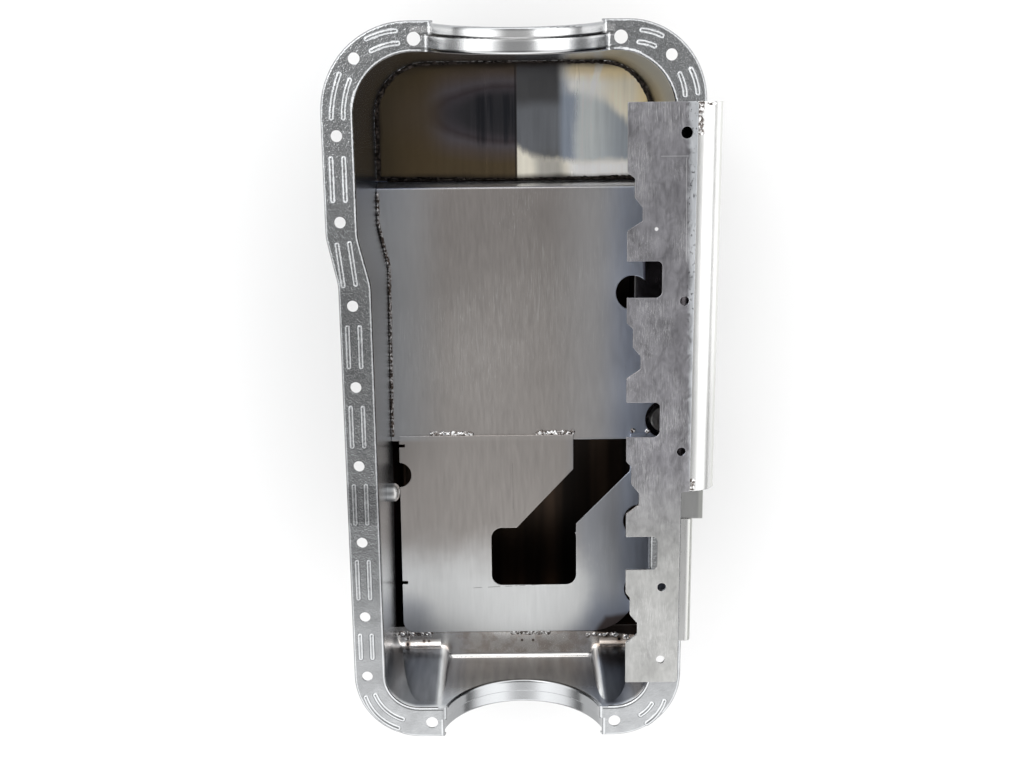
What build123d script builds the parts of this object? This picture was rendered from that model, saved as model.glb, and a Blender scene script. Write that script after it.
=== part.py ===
"""Engine oil pan: a stamped rail and bowl with a welded-in sump, kick-out, trays and crank scraper.

The origin is the middle of the four end bolts, on the gasket face of the rail.
+Y points to the front of the engine, +X to the side with the kick-out, and +Z up into the block.
"""

from build123d import *

import os
from math import atan2, cos, degrees, hypot, radians, sin, sqrt

# ---- sheet and plate -------------------------------------------------------
sheet = 1.5                     # stamped and folded steel sheet
scraper_plate = 2.5             # laser-cut scraper plate
weld_gap = 0.3                  # gap that a weld bridges
bend_radius = 2.5               # outside radius where the rail turns into the wall

# ---- engine ----------------------------------------------------------------
bore_spacing = 111.25           # from one main bearing to the next
middle_main_y = -15.3           # middle main bearing
crank_height = 16.0             # centre of the end seals above the gasket face
seal_radius = 66.0              # radius of the end seal seats

# ---- rail ------------------------------------------------------------------
rail_front_y = 289.0
rail_rear_y = -289.0
rail_left_front_x = -148.0
rail_left_rear_x = -140.0
rail_right_front_x = 141.5
rail_right_rear_x = 131.0
bowl_front_y = 266.5
bowl_rear_y = -262.5
bowl_left_front_x = -123.3
bowl_left_rear_x = -114.3
bowl_right_front_x = 118.5
bowl_right_rear_x = 104.0
jog_left_front_y = 130.0
jog_left_rear_y = 93.0
jog_right_front_y = -58.0
jog_right_rear_y = -92.0
jog_radius = 38.0
rail_front_left_radius = 67.0
rail_front_right_radius = 60.0
rail_rear_radius = 55.0
bowl_front_radius = 46.0
bowl_rear_radius = 28.0
lip_depth = 5.0                 # turned-down outer edge of the rail
lip_radius = 2.0
rail_end_radius = 3.5           # outside radius where the rail turns down into a seal channel
trim_front_x = 134.5            # rail trimmed for the kick-out
trim_rear_x = 128.5             # rail trimmed behind the kick-out

# ---- bolts -----------------------------------------------------------------
side_hole_radius = 4.35
end_hole_radius = 5.0
end_bolt_x = 76.5
end_bolt_y = 275.8
left_bolt_pitch = 64.45
left_bolt_front_y = 206.2
left_bolt_front_x = -136.3
left_bolt_rear_x = -129.2
left_front_bolt_count = 2
left_rear_bolt_count = 5
left_last_bolt_y = -233.2
corner_bolt_left = (-121.1, 262.2)
corner_bolt_right = (114.2, 262.8)
right_bolts = [(126.6, 206.2), (127.3, 79.1), (127.3, -41.6), (113.7, -155.8), (113.7, -219.5)]

# ---- beads pressed into the rail -------------------------------------------
bead_width = 5.0
bead_height = 1.4
bead_spacing = 9.6
bead_hole_clearance = 28.0
bead_longest = 37.0

# ---- depths ----------------------------------------------------------------
front_depth = 145.0
rear_depth = 97.0
sump_depth = 190.0
kickout_drop = 5.0              # kick-out floor below the bowl floor
ramp_front_y = 150.0            # bowl floor rises from here to the rear ledge
ledge_front_y = -233.0
pocket_top_depth = 12.0
pocket_rear_y = -251.0
floor_bend_radius = 7.0
rear_bay_bend_radius = 3.0
rear_bay_left_x = -66.5
rear_bay_right_x = 63.5
rear_bay_radius = 5.0
rear_bay_flare = 6.0            # where the sides of the bay turn into the pockets

# ---- end seal channels -----------------------------------------------------
seal_groove = 2.5               # step between the two bands of a channel
front_step_y = 278.8
front_channel_y = 287.5
rear_step_y = -273.2
rear_channel_y = -284.8
seal_step_run = 0.6             # the step between the bands leans by this much
seal_step_radius = 0.8
channel_wall = 4.5              # height of the wall modelled with a channel, below its first band
channel_lip = 5.5
seal_cut_reach = 8.0            # how far the seal space is cut into the bowl
seal_cut_margin = 1.0           # the cut below the bend between wall and channel

# ---- front floor -----------------------------------------------------------
floor_rear_y = 166.0
floor_crease_rise = 2.5

# ---- trays -----------------------------------------------------------------
tray_front_y = 160.0
tray_front_rise = 9.5           # tray above the bowl floor at its front
tray_joint_y = -60.4
tray_joint_drop = 11.0          # tray joint below the rear ledge
tray_lap = 4.5                  # rear tray over front tray, and over the rear ledge
tray_front_lip = 10.0
tray_front_lip_angle = 50.0
tray_right_x = 112.0            # where the front tray turns down beside the kick-out
tray_wide_x = 124.0             # where it reaches under the main caps
tray_step_y = 18.0
tray_lip = 8.0
tray_drain_radius = 15.0
front_drain = (100.7, 68.0)
rear_drains = [(107.1, -135.0), (108.0, -198.5)]
bung_notch = (128.3, -43.4)
bung_notch_radius = 16.8
rear_tray_left_gap = 7.0        # open gap that drains along the left wall
rear_tray_lip = 6.0
rear_tray_pouch_gap = 6.0
rear_tray_corner = 21.0         # cut-off corner by the kick-out, across and along
rear_tray_corner_length = 25.2
rear_tray_pouch_radius = 3.0
rear_tray_jog_lead = 4.0
rear_tray_left_radius = 10.0
rear_tray_right_radius = 40.0
relief_notch = 5.0
relief_notch_width = 3.0
relief_notch_ys = (-64.5, -190.5)
pickup_left_x = -26.5
pickup_right_x = 49.8
pickup_front_y = -140.3
pickup_rear_y = -193.8
pickup_radius = 9.5
slot_left_x = 47.3
slot_right_x = 98.0
slot_bend_y = -87.0
slot_foot_x = -3.6              # where the slanting side of the slot meets the pickup hole
slot_foot_rise = 3.0
slot_lap = 5.0                  # the slot drawn over the pickup hole
slot_corner_radius = 4.0
dipstick_notch_y = -90.8
dipstick_notch_x = -108.2
dipstick_notch_radius = 11.2

# ---- crank scraper ---------------------------------------------------------
scraper_inner_x = 82.0
scraper_lean = 0.0064           # share of the length by which the teeth draw back
scraper_front_y = 228.8
scraper_rear_y = -239.6
scraper_front_x = 134.5
scraper_rear_x = 127.6
scraper_step_y = -75.0
cap_notch_x = 110.0
cap_notch_width = 28.3
cap_notch_radius = 4.5
scraper_corner_radius = 2.0
rod_corner_radius = 1.5
rod_relief_x = 94.2
rod_ledge_x = 88.0
cap_notch_lead = 34.0           # from a main bearing to the first step of the rod relief
rod_steps = (0.0, 4.5, 19.0, 26.5, 36.5, 44.0)
first_bay_shift = 4.0
scraper_hole_radius = 3.6
scraper_front_hole_radius = 4.6

# ---- kick-out --------------------------------------------------------------
kickout_x = 156.5
kickout_front_y = 229.0
kickout_rear_y = -75.0
kickout_top_radius = 20.0
kickout_bottom_radius = 12.0
window_stub = 10.0              # wall left under the rail above the kick-out window

# ---- boxes behind the kick-out ---------------------------------------------
step_box_x = 146.0
step_box_rear_y = -98.5
step_box_depth = 60.0
pouch_x = 138.5
pouch_rear_y = -204.0
pouch_depth = 125.0
pouch_radius = 5.0
pouch_window_depth = 118.0

# ---- sump ------------------------------------------------------------------
sump_bend_radius = 8.0

# ---- bungs and plugs -------------------------------------------------------
bung_radius = 12.5
bung_height = 11.0
bung_bore_radius = 6.0
bung_neck_radius = 9.5
plug_hex = 19.0                 # across the flats
plug_head = 7.0
plug_short = 2.5                # end of the plug below the end of its bung
fitting_chamfer = 1.0
thread_gap = 0.1
washer_radius = 10.5
washer_thickness = 1.5
side_bung_x = 132.0
side_bung_y = -50.5
drain_x = -40.0
drain_above_floor = 17.0

# ---- dipstick boss ---------------------------------------------------------
boss_radius = 8.0
boss_reach = 10.0
boss_tube_radius = 6.0
boss_outside = 16.0
boss_collar_radius = 10.5
boss_collar = 3.0
boss_bore_radius = 3.6
boss_nose_back = 1.2            # shoulder of the domed end, behind its tip and inside its side
boss_nose_inside = 2.0
boss_y = -94.5
boss_depth = 66.0

# ---- welds -----------------------------------------------------------------
floor_weld = 4.5
tray_weld = 3.0
tack_width = 5.0
tack_height = 1.6
lap_tacks = [(-77.8, -43.2), (16.1, 47.1)]
lap_spots = (100.4, 113.5)
rear_tack = (-8.8, 24.1)
corner_tack = (-104.0, -82.0)
kickout_tacks = [(217.0, 227.0), (-73.0, -66.0)]

# ---- worked out ------------------------------------------------------------
kickout_depth = front_depth + kickout_drop
tray_front_depth = front_depth - tray_front_rise
tray_joint_depth = rear_depth + tray_joint_drop
ramp_slope = (front_depth - rear_depth) / (ramp_front_y - ledge_front_y)
tray_slope = (tray_front_depth - tray_joint_depth) / (tray_front_y - tray_joint_y)
rear_tray_front_y = tray_joint_y + tray_lap
rear_tray_rear_y = ledge_front_y - tray_lap
rear_tray_slope = (tray_joint_depth - rear_depth) / (tray_joint_y - ledge_front_y)
sump_left_x = bowl_left_rear_x - sheet
sump_right_x = bowl_right_rear_x + sheet
kickout_inner_x = bowl_right_front_x + sheet
bay_mains = [middle_main_y + bore_spacing * step for step in (2, 1, 0, -1)]
far = 400.0                     # beyond the pan in any direction
near = 0.01                     # counts as on the gasket face


# ---- small helpers ---------------------------------------------------------
def rounded(corners):
    """Closed face from (x, y, corner radius) points."""
    points = [(x, y) for x, y, _ in corners]
    return make_face(FilletPolyline(*points, radius=[r for _, _, r in corners], close=True))


def box(x0, x1, y0, y1, z0, z1):
    """Box between two opposite corners."""
    return Pos((x0 + x1) / 2, (y0 + y1) / 2, (z0 + z1) / 2) * Box(x1 - x0, y1 - y0, z1 - z0)


def upright(face, z0, z1):
    """Plan face raised between two heights."""
    return Pos(0, 0, z0) * extrude(face, z1 - z0, dir=(0, 0, 1))


def across(corners, x0, x1):
    """Solid from a side outline of (y, z, corner radius) points, from x0 to x1."""
    side = Plane((x0, 0, 0), x_dir=(0, 1, 0), z_dir=(1, 0, 0))
    return extrude(side * rounded(corners), x1 - x0, dir=(1, 0, 0))


def along(face, y0, y1):
    """Solid from a cross-section drawn with x across and y as height, from y0 to y1."""
    return extrude(Plane((0, y0, 0), x_dir=(1, 0, 0), z_dir=(0, -1, 0)) * face, y1 - y0, dir=(0, 1, 0))


def cross_section(points):
    """Face from plain (x, z) points."""
    return make_face(Polyline(*points, close=True))


def disc(x, y, radius, z0, z1):
    """Upright cylinder between two heights."""
    return Pos(x, y, (z0 + z1) / 2) * Cylinder(radius, z1 - z0)


def floor_z(y):
    """Height of the inside of the bowl floor at y."""
    if y >= ramp_front_y:
        return -front_depth
    return -rear_depth - max(0.0, y - ledge_front_y) * ramp_slope


# ---- outlines in plan ------------------------------------------------------
def rail_outline():
    return rounded([
        (rail_left_front_x, rail_front_y, rail_front_left_radius),
        (rail_left_front_x, jog_left_front_y, jog_radius),
        (rail_left_rear_x, jog_left_rear_y, jog_radius),
        (rail_left_rear_x, rail_rear_y, rail_rear_radius),
        (rail_right_rear_x, rail_rear_y, rail_rear_radius),
        (rail_right_rear_x, jog_right_rear_y, jog_radius),
        (rail_right_front_x, jog_right_front_y, jog_radius),
        (rail_right_front_x, rail_front_y, rail_front_right_radius),
    ])


def bowl_outline(grow=0.0):
    """Inside of the bowl in plan, moved outwards by grow."""
    face = rounded([
        (bowl_left_front_x, bowl_front_y, bowl_front_radius),
        (bowl_left_front_x, jog_left_front_y, jog_radius),
        (bowl_left_rear_x, jog_left_rear_y, jog_radius),
        (bowl_left_rear_x, bowl_rear_y, bowl_rear_radius),
        (bowl_right_rear_x, bowl_rear_y, bowl_rear_radius),
        (bowl_right_rear_x, jog_right_rear_y, jog_radius),
        (bowl_right_front_x, jog_right_front_y, jog_radius),
        (bowl_right_front_x, bowl_front_y, bowl_front_radius),
    ])
    return offset(face, grow) if grow else face


# ---- stamping --------------------------------------------------------------
def bowl_space(grow):
    """Space inside the bowl, moved outwards by grow."""
    ledge_z = -rear_depth - grow
    wall_y = bowl_rear_y - grow
    floor = [(far, 0, 0), (far, -front_depth - grow, 0), (ramp_front_y, -front_depth - grow, 0),
             (ledge_front_y, ledge_z, 0)]
    pockets = floor + [(pocket_rear_y - grow, ledge_z, floor_bend_radius + grow),
                       (wall_y, -pocket_top_depth, 0), (wall_y, 0, 0)]
    bay_side = floor + [(wall_y, ledge_z, rear_bay_bend_radius + grow), (wall_y, 0, 0)]
    plan = upright(bowl_outline(grow), -front_depth - grow, 0)
    mouth_y = pocket_rear_y - grow
    left_x, right_x = rear_bay_left_x - grow, rear_bay_right_x + grow
    flare = rear_bay_flare - grow
    lead = flare + sheet
    bay_plan = rounded([
        (left_x - lead, ledge_front_y, 0), (left_x - lead, mouth_y, 0), (left_x, mouth_y, flare),
        (left_x, wall_y, rear_bay_radius + grow), (right_x, wall_y, rear_bay_radius + grow),
        (right_x, mouth_y, flare), (right_x + lead, mouth_y, 0), (right_x + lead, ledge_front_y, 0),
    ])
    slant = (0, (wall_y - mouth_y) / -(ledge_z + pocket_top_depth), 1)
    bay = extrude(Pos(0, 0, ledge_z) * bay_plan, rear_depth * hypot(*slant), dir=slant)
    return (plan & across(pockets, -far, far)) + (bay & across(bay_side, -far, far))


def rail():
    """Flat rail with its turned-down outer edge."""
    outline = rail_outline()
    flat = upright(outline, -sheet, 0)
    lip = upright(outline, -lip_depth, 0) - upright(offset(outline, -sheet), -lip_depth, 0)
    edge = flat + lip
    top = edge.edges().filter_by_position(Axis.Z, -near, near)
    return fillet(top, lip_radius)


def channel_section(wall_y, step_y, end_y, wall_first_radius, step_radius, outward):
    """Section of an end seal channel, drawn with x as y and y as distance from the crank axis."""
    drop = seal_radius + seal_groove + channel_wall
    path = FilletPolyline(
        (wall_y, drop), (wall_y, wall_first_radius), (step_y, wall_first_radius),
        (step_y + outward * seal_step_run, step_radius), (end_y, step_radius),
        (end_y, seal_radius + channel_lip),
        radius=[bend_radius, seal_step_radius, seal_step_radius, lip_radius],
    )
    side = Side.LEFT if outward > 0 else Side.RIGHT
    return make_face(offset(path, sheet, side=side, closed=True))


def seal_space(wall_y, wall_first_radius, step_y, step_radius, end_y, outward):
    """Full round space above a seal channel, let into the bowl."""
    inside_y, outside_y = wall_y - outward * seal_cut_reach, wall_y + outward * sheet
    bend = wall_first_radius + bend_radius + seal_cut_margin
    beyond_y = end_y + outward * channel_lip
    points = [(inside_y, 0), (inside_y, bend), (outside_y, bend), (outside_y, wall_first_radius),
              (step_y, wall_first_radius), (step_y, step_radius), (beyond_y, step_radius), (beyond_y, 0)]
    face = make_face(Polyline(*[(0, y, crank_height - r) for y, r in points], close=True))
    return revolve(face, Axis((0, 0, crank_height), (0, 1, 0)), 360)


def seal_channel(section):
    """Channel bent round the crank axis, kept below the gasket face."""
    placed = Plane((0, 0, crank_height), x_dir=(0, 1, 0), z_dir=(-1, 0, 0)) * section
    ring = revolve(placed, Axis((0, 0, crank_height), (0, 1, 0)), 360)
    return ring & box(-far, far, rail_rear_y, rail_front_y, -far, 0)


def front_channel():
    low = seal_radius + seal_groove
    section = channel_section(bowl_front_y, front_step_y, front_channel_y, low, seal_radius, 1)
    return seal_channel(section)


def rear_channel():
    low = seal_radius + seal_groove
    section = channel_section(bowl_rear_y, rear_step_y, rear_channel_y, seal_radius, low, -1)
    return seal_channel(section)


def left_bolt_places():
    """Holes of the left rail from front to rear."""
    count = left_front_bolt_count + left_rear_bolt_count
    ys = [left_bolt_front_y - left_bolt_pitch * step for step in range(count)]
    xs = [left_bolt_front_x] * left_front_bolt_count + [left_bolt_rear_x] * left_rear_bolt_count
    return list(zip(xs, ys)) + [(left_bolt_rear_x, left_last_bolt_y)]


def end_bolt_places():
    return [(x, y) for x in (-end_bolt_x, end_bolt_x) for y in (-end_bolt_y, end_bolt_y)]


def rail_holes():
    side = left_bolt_places() + right_bolts + [corner_bolt_left, corner_bolt_right]
    holes = [disc(x, y, side_hole_radius, -2 * sheet, sheet) for x, y in side]
    holes += [disc(x, y, end_hole_radius, -2 * sheet, sheet) for x, y in end_bolt_places()]
    return holes


def bead(path):
    """Ridge with a round top, pressed up from the rail along a path."""
    round_radius = (bead_width ** 2 / 4 + bead_height ** 2) / (2 * bead_height)
    ridge = sweep(Plane(origin=path @ 0, z_dir=path % 0) * Circle(round_radius), path=path)
    for place in (path @ 0, path @ 1):
        ridge += Pos(*place) * Sphere(round_radius)
    return (Pos(0, 0, bead_height - round_radius) * ridge) & box(-far, far, -far, far, -sheet / 2, far)


def bead_pair(start, end):
    """Two straight beads, side by side, midway between two holes."""
    length_between = hypot(end[0] - start[0], end[1] - start[1])
    length = min(bead_longest, length_between - bead_hole_clearance) - bead_width
    angle = degrees(atan2(end[1] - start[1], end[0] - start[0]))
    middle = Pos((start[0] + end[0]) / 2, (start[1] + end[1]) / 2) * Rot(0, 0, angle)
    return [bead(middle * Pos(0, side * bead_spacing / 2) * Line((-length / 2, 0), (length / 2, 0)))
            for side in (-1, 1)]


def beads():
    """Beads along the left rail and round the four corners."""
    left = left_bolt_places()
    made = []
    for start, end in zip(left, left[1:]):
        made += bead_pair(start, end)
    for points in (
        [(-132.3, 251.2), (-137.4, 235.4), (-139.6, 219.5)],
        [(-124.8, 246.8), (-129.1, 233.2), (-130.6, 219.4)],
        [(-111.4, 276.0), (-101.0, 279.8), (-89.6, 281.6)],
        [(-108.0, 267.6), (-98.5, 271.2), (-88.2, 272.8)],
        [(-131.2, -252.4), (-122.4, -268.6), (-105.0, -280.6)],
        [(-123.2, -250.4), (-115.6, -263.0), (-101.0, -272.6)],
        [(91.9, 280.4), (99.6, 279.0), (106.7, 276.2)],
        [(89.8, 272.0), (95.8, 271.0), (101.4, 269.0)],
        [(128.6, 252.2), (132.4, 243.4), (134.2, 234.9)],
        [(120.4, 249.0), (123.4, 241.2), (124.8, 233.5)],
        [(98.4, -270.8), (103.6, -266.4), (107.6, -260.8)],
        [(103.7, -278.4), (112.4, -270.0), (118.1, -258.5)],
    ):
        made.append(bead(ThreePointArc(*points)))
    return made


def sump_opening():
    """Part of the bowl that is cut away for the sump, and its side for the kick-out."""
    floor = box(bowl_left_rear_x, bowl_right_rear_x, ledge_front_y, floor_rear_y, -far, -rear_depth / 2)
    side = box(0, far, kickout_rear_y + sheet, floor_rear_y, -far, -sheet - window_stub)
    pouch = box(bowl_right_rear_x - sheet, far, pouch_rear_y + sheet, step_box_rear_y - sheet,
                -pouch_window_depth, -sheet - window_stub)
    return (floor & upright(bowl_outline(), -far, 0)) + side + pouch


def rail_end_corner(radius, bend, over):
    """Corner of the rail beside a seal band, less a circle round the centre of the rail's bend."""
    centre_x = sqrt((radius + rail_end_radius) ** 2 - (crank_height + rail_end_radius) ** 2)
    share = radius / (radius + rail_end_radius)
    touch = (centre_x * share, crank_height - (crank_height + rail_end_radius) * share)
    edge_x = sqrt(radius ** 2 - crank_height ** 2)
    corner = cross_section([(centre_x, over), (edge_x - over, over), touch, (centre_x, -rail_end_radius)])
    return corner - Pos(centre_x, -rail_end_radius) * Circle(bend)


def rail_end_corners(bend, over, inset):
    """Corners of the rail along the two bands of each seal channel."""
    outer, inner = seal_radius, seal_radius + seal_groove
    bands = [(outer, front_step_y, rail_front_y - inset), (inner, bowl_front_y, front_step_y),
             (inner, rail_rear_y + inset, rear_step_y), (outer, rear_step_y, bowl_rear_y)]
    corners = []
    for radius, y0, y1 in bands:
        right = along(rail_end_corner(radius, bend, over), y0, y1)
        corners += [right, mirror(right, Plane.YZ)]
    return corners


def pan_stamping():
    shell = bowl_space(sheet) - bowl_space(0)
    flat = rail() - upright(bowl_outline(), -2 * lip_depth, sheet)
    pan = flat + shell
    mouth = (pan.edges().filter_by_position(Axis.Z, -near, near)
             .filter_by_position(Axis.X, bowl_left_front_x - sheet, bowl_right_front_x + sheet)
             .filter_by_position(Axis.Y, bowl_rear_y - sheet, bowl_front_y + sheet))
    pan = fillet(mouth, bend_radius)
    pan -= seal_space(bowl_front_y, seal_radius + seal_groove, front_step_y, seal_radius, rail_front_y, 1)
    pan -= seal_space(bowl_rear_y, seal_radius, rear_step_y, seal_radius + seal_groove, rail_rear_y, -1)
    pan += front_channel()
    pan += rear_channel()
    pan += rail_end_corners(rail_end_radius - sheet, 0, sheet)
    pan -= rail_end_corners(rail_end_radius, sheet, 0)
    pan += beads()
    pan -= rail_holes()
    pan -= upright(bowl_outline(), -far, -rear_depth) & box(-far, far, floor_rear_y, far, -far, 0)
    pan -= sump_opening()
    pan -= box(trim_front_x, far, kickout_rear_y, kickout_front_y, -far, far)
    pan -= box(trim_rear_x, far, pouch_rear_y, kickout_rear_y, -far, far)
    pan -= Pos(bowl_left_rear_x, boss_y, -boss_depth) * Rot(0, 90, 0) * Cylinder(boss_radius, 8 * sheet)
    return pan


# ---- front floor and trays ---------------------------------------------------
def creased(z):
    """Points of the front floor's cross-section, from left to right, with the edges at z."""
    return [(bowl_left_front_x - sheet, z), (0, z + floor_crease_rise), (bowl_right_front_x + sheet, z)]


def front_floor_plate():
    """Creased plate let into the bowl in front of the sump."""
    section = cross_section(creased(-front_depth) + creased(-front_depth - sheet)[::-1])
    plan = upright(offset(bowl_outline(), -weld_gap), -far, 0)
    return along(section, floor_rear_y, far) & plan


def front_tray_top(y):
    return -tray_joint_depth - (y - tray_joint_y) * tray_slope


def rear_tray_top(y):
    return -tray_joint_depth + (tray_joint_y - y) * rear_tray_slope + sheet


def folded(points):
    """Face of a sheet folded at the inner ones of its (x, y) points, lying below them."""
    path = FilletPolyline(*points, radius=[bend_radius] * (len(points) - 2))
    return make_face(offset(path, sheet, side=Side.RIGHT, closed=True))


def front_windage_tray():
    """Sloping tray over the front of the sump, turned down in front and beside the kick-out."""
    slope = degrees(atan2(tray_slope, 1))
    length = (tray_front_y - tray_joint_y) / cos(radians(slope))
    step = (tray_step_y - tray_joint_y) / cos(radians(slope))
    lip_angle = radians(tray_front_lip_angle)
    profile = folded([(0, 0), (length, 0),
                      (length + tray_front_lip * cos(lip_angle), -tray_front_lip * sin(lip_angle))])
    side = Plane((-far, 0, 0), x_dir=(0, 1, 0), z_dir=(1, 0, 0))
    tray = extrude(side * profile, far + tray_wide_x, dir=(1, 0, 0))
    fold_x = tray_right_x - 2 * bend_radius
    tray -= box(fold_x, far, step, far, -far, far)
    side_fold = folded([(fold_x, 0), (tray_right_x, 0), (tray_right_x, -tray_lip)])
    tray += along(side_fold, step, length - bend_radius)
    tray = Pos(0, tray_joint_y, -tray_joint_depth) * Rot(-slope, 0, 0) * tray
    tray &= upright(offset(bowl_outline(), -weld_gap), -far, 0) + box(
        0, far, kickout_rear_y, floor_rear_y, -far, 0)
    tray -= disc(*front_drain, tray_drain_radius, -far, 0)
    return tray - disc(*bung_notch, bung_notch_radius, -far, 0)


def pickup_cut():
    """Plan of the square pickup hole and the slanting slot that leads to it."""
    square = rounded([
        (pickup_left_x, pickup_front_y, pickup_radius), (pickup_left_x, pickup_rear_y, pickup_radius),
        (pickup_right_x, pickup_rear_y, pickup_radius), (pickup_right_x, pickup_front_y, pickup_radius)])
    foot_y = pickup_front_y + slot_foot_rise
    slot = rounded([
        (slot_left_x, 0, 0), (slot_left_x, slot_bend_y, 0),
        (slot_foot_x, pickup_front_y, 0), (slot_foot_x, pickup_front_y - slot_lap, 0),
        (pickup_right_x, pickup_front_y - slot_lap, 0), (pickup_right_x, foot_y, 0),
        (slot_right_x, foot_y + slot_right_x - pickup_right_x, slot_corner_radius), (slot_right_x, 0, 0)])
    return square + slot


def rear_windage_tray():
    """Tray over the rear of the sump, with the pickup hole and drain gaps."""
    left_x = bowl_left_rear_x + rear_tray_left_gap
    right_x = bowl_right_rear_x - weld_gap
    pouch_edge = pouch_x - rear_tray_pouch_gap - sheet
    plan = rounded([
        (left_x, rear_tray_front_y, 0), (left_x, rear_tray_rear_y, rear_tray_left_radius),
        (right_x - rear_tray_corner, rear_tray_rear_y, rear_tray_right_radius),
        (right_x, rear_tray_rear_y + rear_tray_corner_length, 0), (right_x, pouch_rear_y + 2 * sheet, 0),
        (pouch_edge, pouch_rear_y + 2 * sheet, rear_tray_pouch_radius),
        (pouch_edge, step_box_rear_y - 2 * sheet, rear_tray_pouch_radius),
        (right_x, step_box_rear_y - 2 * sheet, 0), (right_x, jog_right_rear_y, 0),
        (tray_right_x, jog_right_front_y - rear_tray_jog_lead, 0), (tray_right_x, rear_tray_front_y, 0)])
    for notch_y in relief_notch_ys:
        plan -= Pos(left_x, notch_y) * Rectangle(2 * relief_notch, relief_notch_width)
    plan -= Pos(dipstick_notch_x, dipstick_notch_y) * Circle(dipstick_notch_radius)
    plan -= pickup_cut()
    for place in rear_drains:
        plan -= Pos(*place) * Circle(tray_drain_radius)
    front, rear = rear_tray_front_y, rear_tray_rear_y
    slab = across([
        (front, rear_tray_top(front), 0), (rear, rear_tray_top(rear), 0),
        (rear, rear_tray_top(rear) - sheet, 0), (front, rear_tray_top(front) - sheet, 0)], -far, far)
    lip_front = dipstick_notch_y - dipstick_notch_radius - relief_notch
    lip_rear = relief_notch_ys[1] + relief_notch_width
    lip = across([(lip_front, rear_tray_top(lip_front), 0), (lip_rear, rear_tray_top(lip_rear), 0),
                  (lip_rear, rear_tray_top(lip_rear) - rear_tray_lip, 0),
                  (lip_front, rear_tray_top(lip_front) - rear_tray_lip, 0)], left_x, left_x + sheet)
    return (slab & upright(plan, -far, 0)) + lip


# ---- crank scraper -----------------------------------------------------------
def scraper_inner(y):
    """Inner edge of the scraper's teeth at y; the teeth draw back a little towards the rear."""
    return scraper_inner_x + (scraper_front_y - y) * scraper_lean


def scraper_edge():
    """Inner edge of the scraper from front to rear, as (x, y, corner radius)."""
    points = [(scraper_inner_x, scraper_front_y, 0)]
    for bay, main in enumerate(bay_mains):
        start_y = main - cap_notch_lead + (first_bay_shift if bay == 0 else 0.0)
        ys = [start_y - step for step in rod_steps]
        xs = (scraper_inner(ys[0]), rod_ledge_x, rod_ledge_x,
              rod_relief_x, rod_relief_x, scraper_inner(ys[-1]))
        points += [(x, y, rod_corner_radius) for x, y in zip(xs, ys)]
        if main != bay_mains[-1]:
            front_y, rear_y = (main - bore_spacing + side * cap_notch_width / 2 for side in (1, -1))
            points += [(scraper_inner(front_y), front_y, 0), (cap_notch_x, front_y, cap_notch_radius),
                       (cap_notch_x, rear_y, cap_notch_radius), (scraper_inner(rear_y), rear_y, 0)]
    return points + [(scraper_inner(scraper_rear_y), scraper_rear_y, 0)]


def crank_scraper():
    """Flat plate on the right rail, cut round the rods and the main caps."""
    outside = [(scraper_rear_x, scraper_rear_y), (scraper_rear_x, scraper_step_y),
               (scraper_front_x, scraper_step_y), (scraper_front_x, scraper_front_y)]
    corners = scraper_edge() + [(x, y, scraper_corner_radius) for x, y in outside]
    plate = upright(rounded(corners), 0, scraper_plate)
    for index, (x, y) in enumerate(right_bolts):
        radius = scraper_hole_radius if index else scraper_front_hole_radius
        plate -= disc(x, y, radius, -sheet, 2 * scraper_plate)
    return plate


# ---- kick-out ----------------------------------------------------------------
def kickout_section(inset):
    """Cross-section of the kick-out, moved inwards by inset."""
    return rounded([
        (0, -inset, 0), (kickout_x - inset, -inset, kickout_top_radius - inset),
        (kickout_x - inset, -kickout_depth + inset, kickout_bottom_radius - inset),
        (0, -kickout_depth + inset, 0)])


def kickout_shell():
    """Sheet rolled from the edge of the rail round to the sump."""
    shell = along(kickout_section(0) - kickout_section(sheet), kickout_rear_y, kickout_front_y)
    shell -= box(-far, trim_front_x, -far, far, -kickout_depth / 2, far)
    shell -= box(-far, sump_right_x, -far, far, -far, 0)
    shell -= box(-far, kickout_inner_x, floor_rear_y, far, -far, 0)
    return shell - disc(side_bung_x, side_bung_y, bung_neck_radius + thread_gap, -far, -kickout_depth / 2)


def kickout_cap(y0, y1):
    """Flat end of the kick-out inside its shell, cut to fit the bowl."""
    cap = along(kickout_section(sheet), y0, y1) - bowl_space(sheet)
    return cap & box(0, far, y0, y1, -far, -sheet)


def kickout_front_cap():
    cap = kickout_cap(kickout_front_y - sheet, kickout_front_y)
    return cap & box(bowl_right_front_x, far, -far, far, -far, 0)


def kickout_rear_cap():
    cap = kickout_cap(kickout_rear_y, kickout_rear_y + sheet)
    return cap & box(sump_right_x, far, -far, far, -far, 0)


def kickout_seam_strip():
    """Strip that closes the kick-out below the bowl wall, ahead of the sump."""
    return box(bowl_right_front_x, kickout_inner_x, floor_rear_y + sheet, kickout_front_y - sheet,
               -kickout_depth, -front_depth - sheet)


# ---- boxes behind the kick-out -----------------------------------------------
def step_box():
    """Small square box that closes the step behind the kick-out."""
    outside = box(0, step_box_x, step_box_rear_y, kickout_rear_y, -step_box_depth, -sheet)
    inside = box(0, step_box_x - sheet, step_box_rear_y + sheet, far, -step_box_depth + sheet, -2 * sheet)
    return outside - inside - bowl_space(sheet)


def pouch_section(inset):
    """Cross-section of the side pouch, moved inwards by inset."""
    return rounded([
        (0, -inset, 0), (pouch_x - inset, -inset, pouch_radius - inset),
        (pouch_x - inset, -pouch_depth + inset, pouch_radius - inset), (0, -pouch_depth + inset, 0)])


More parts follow.
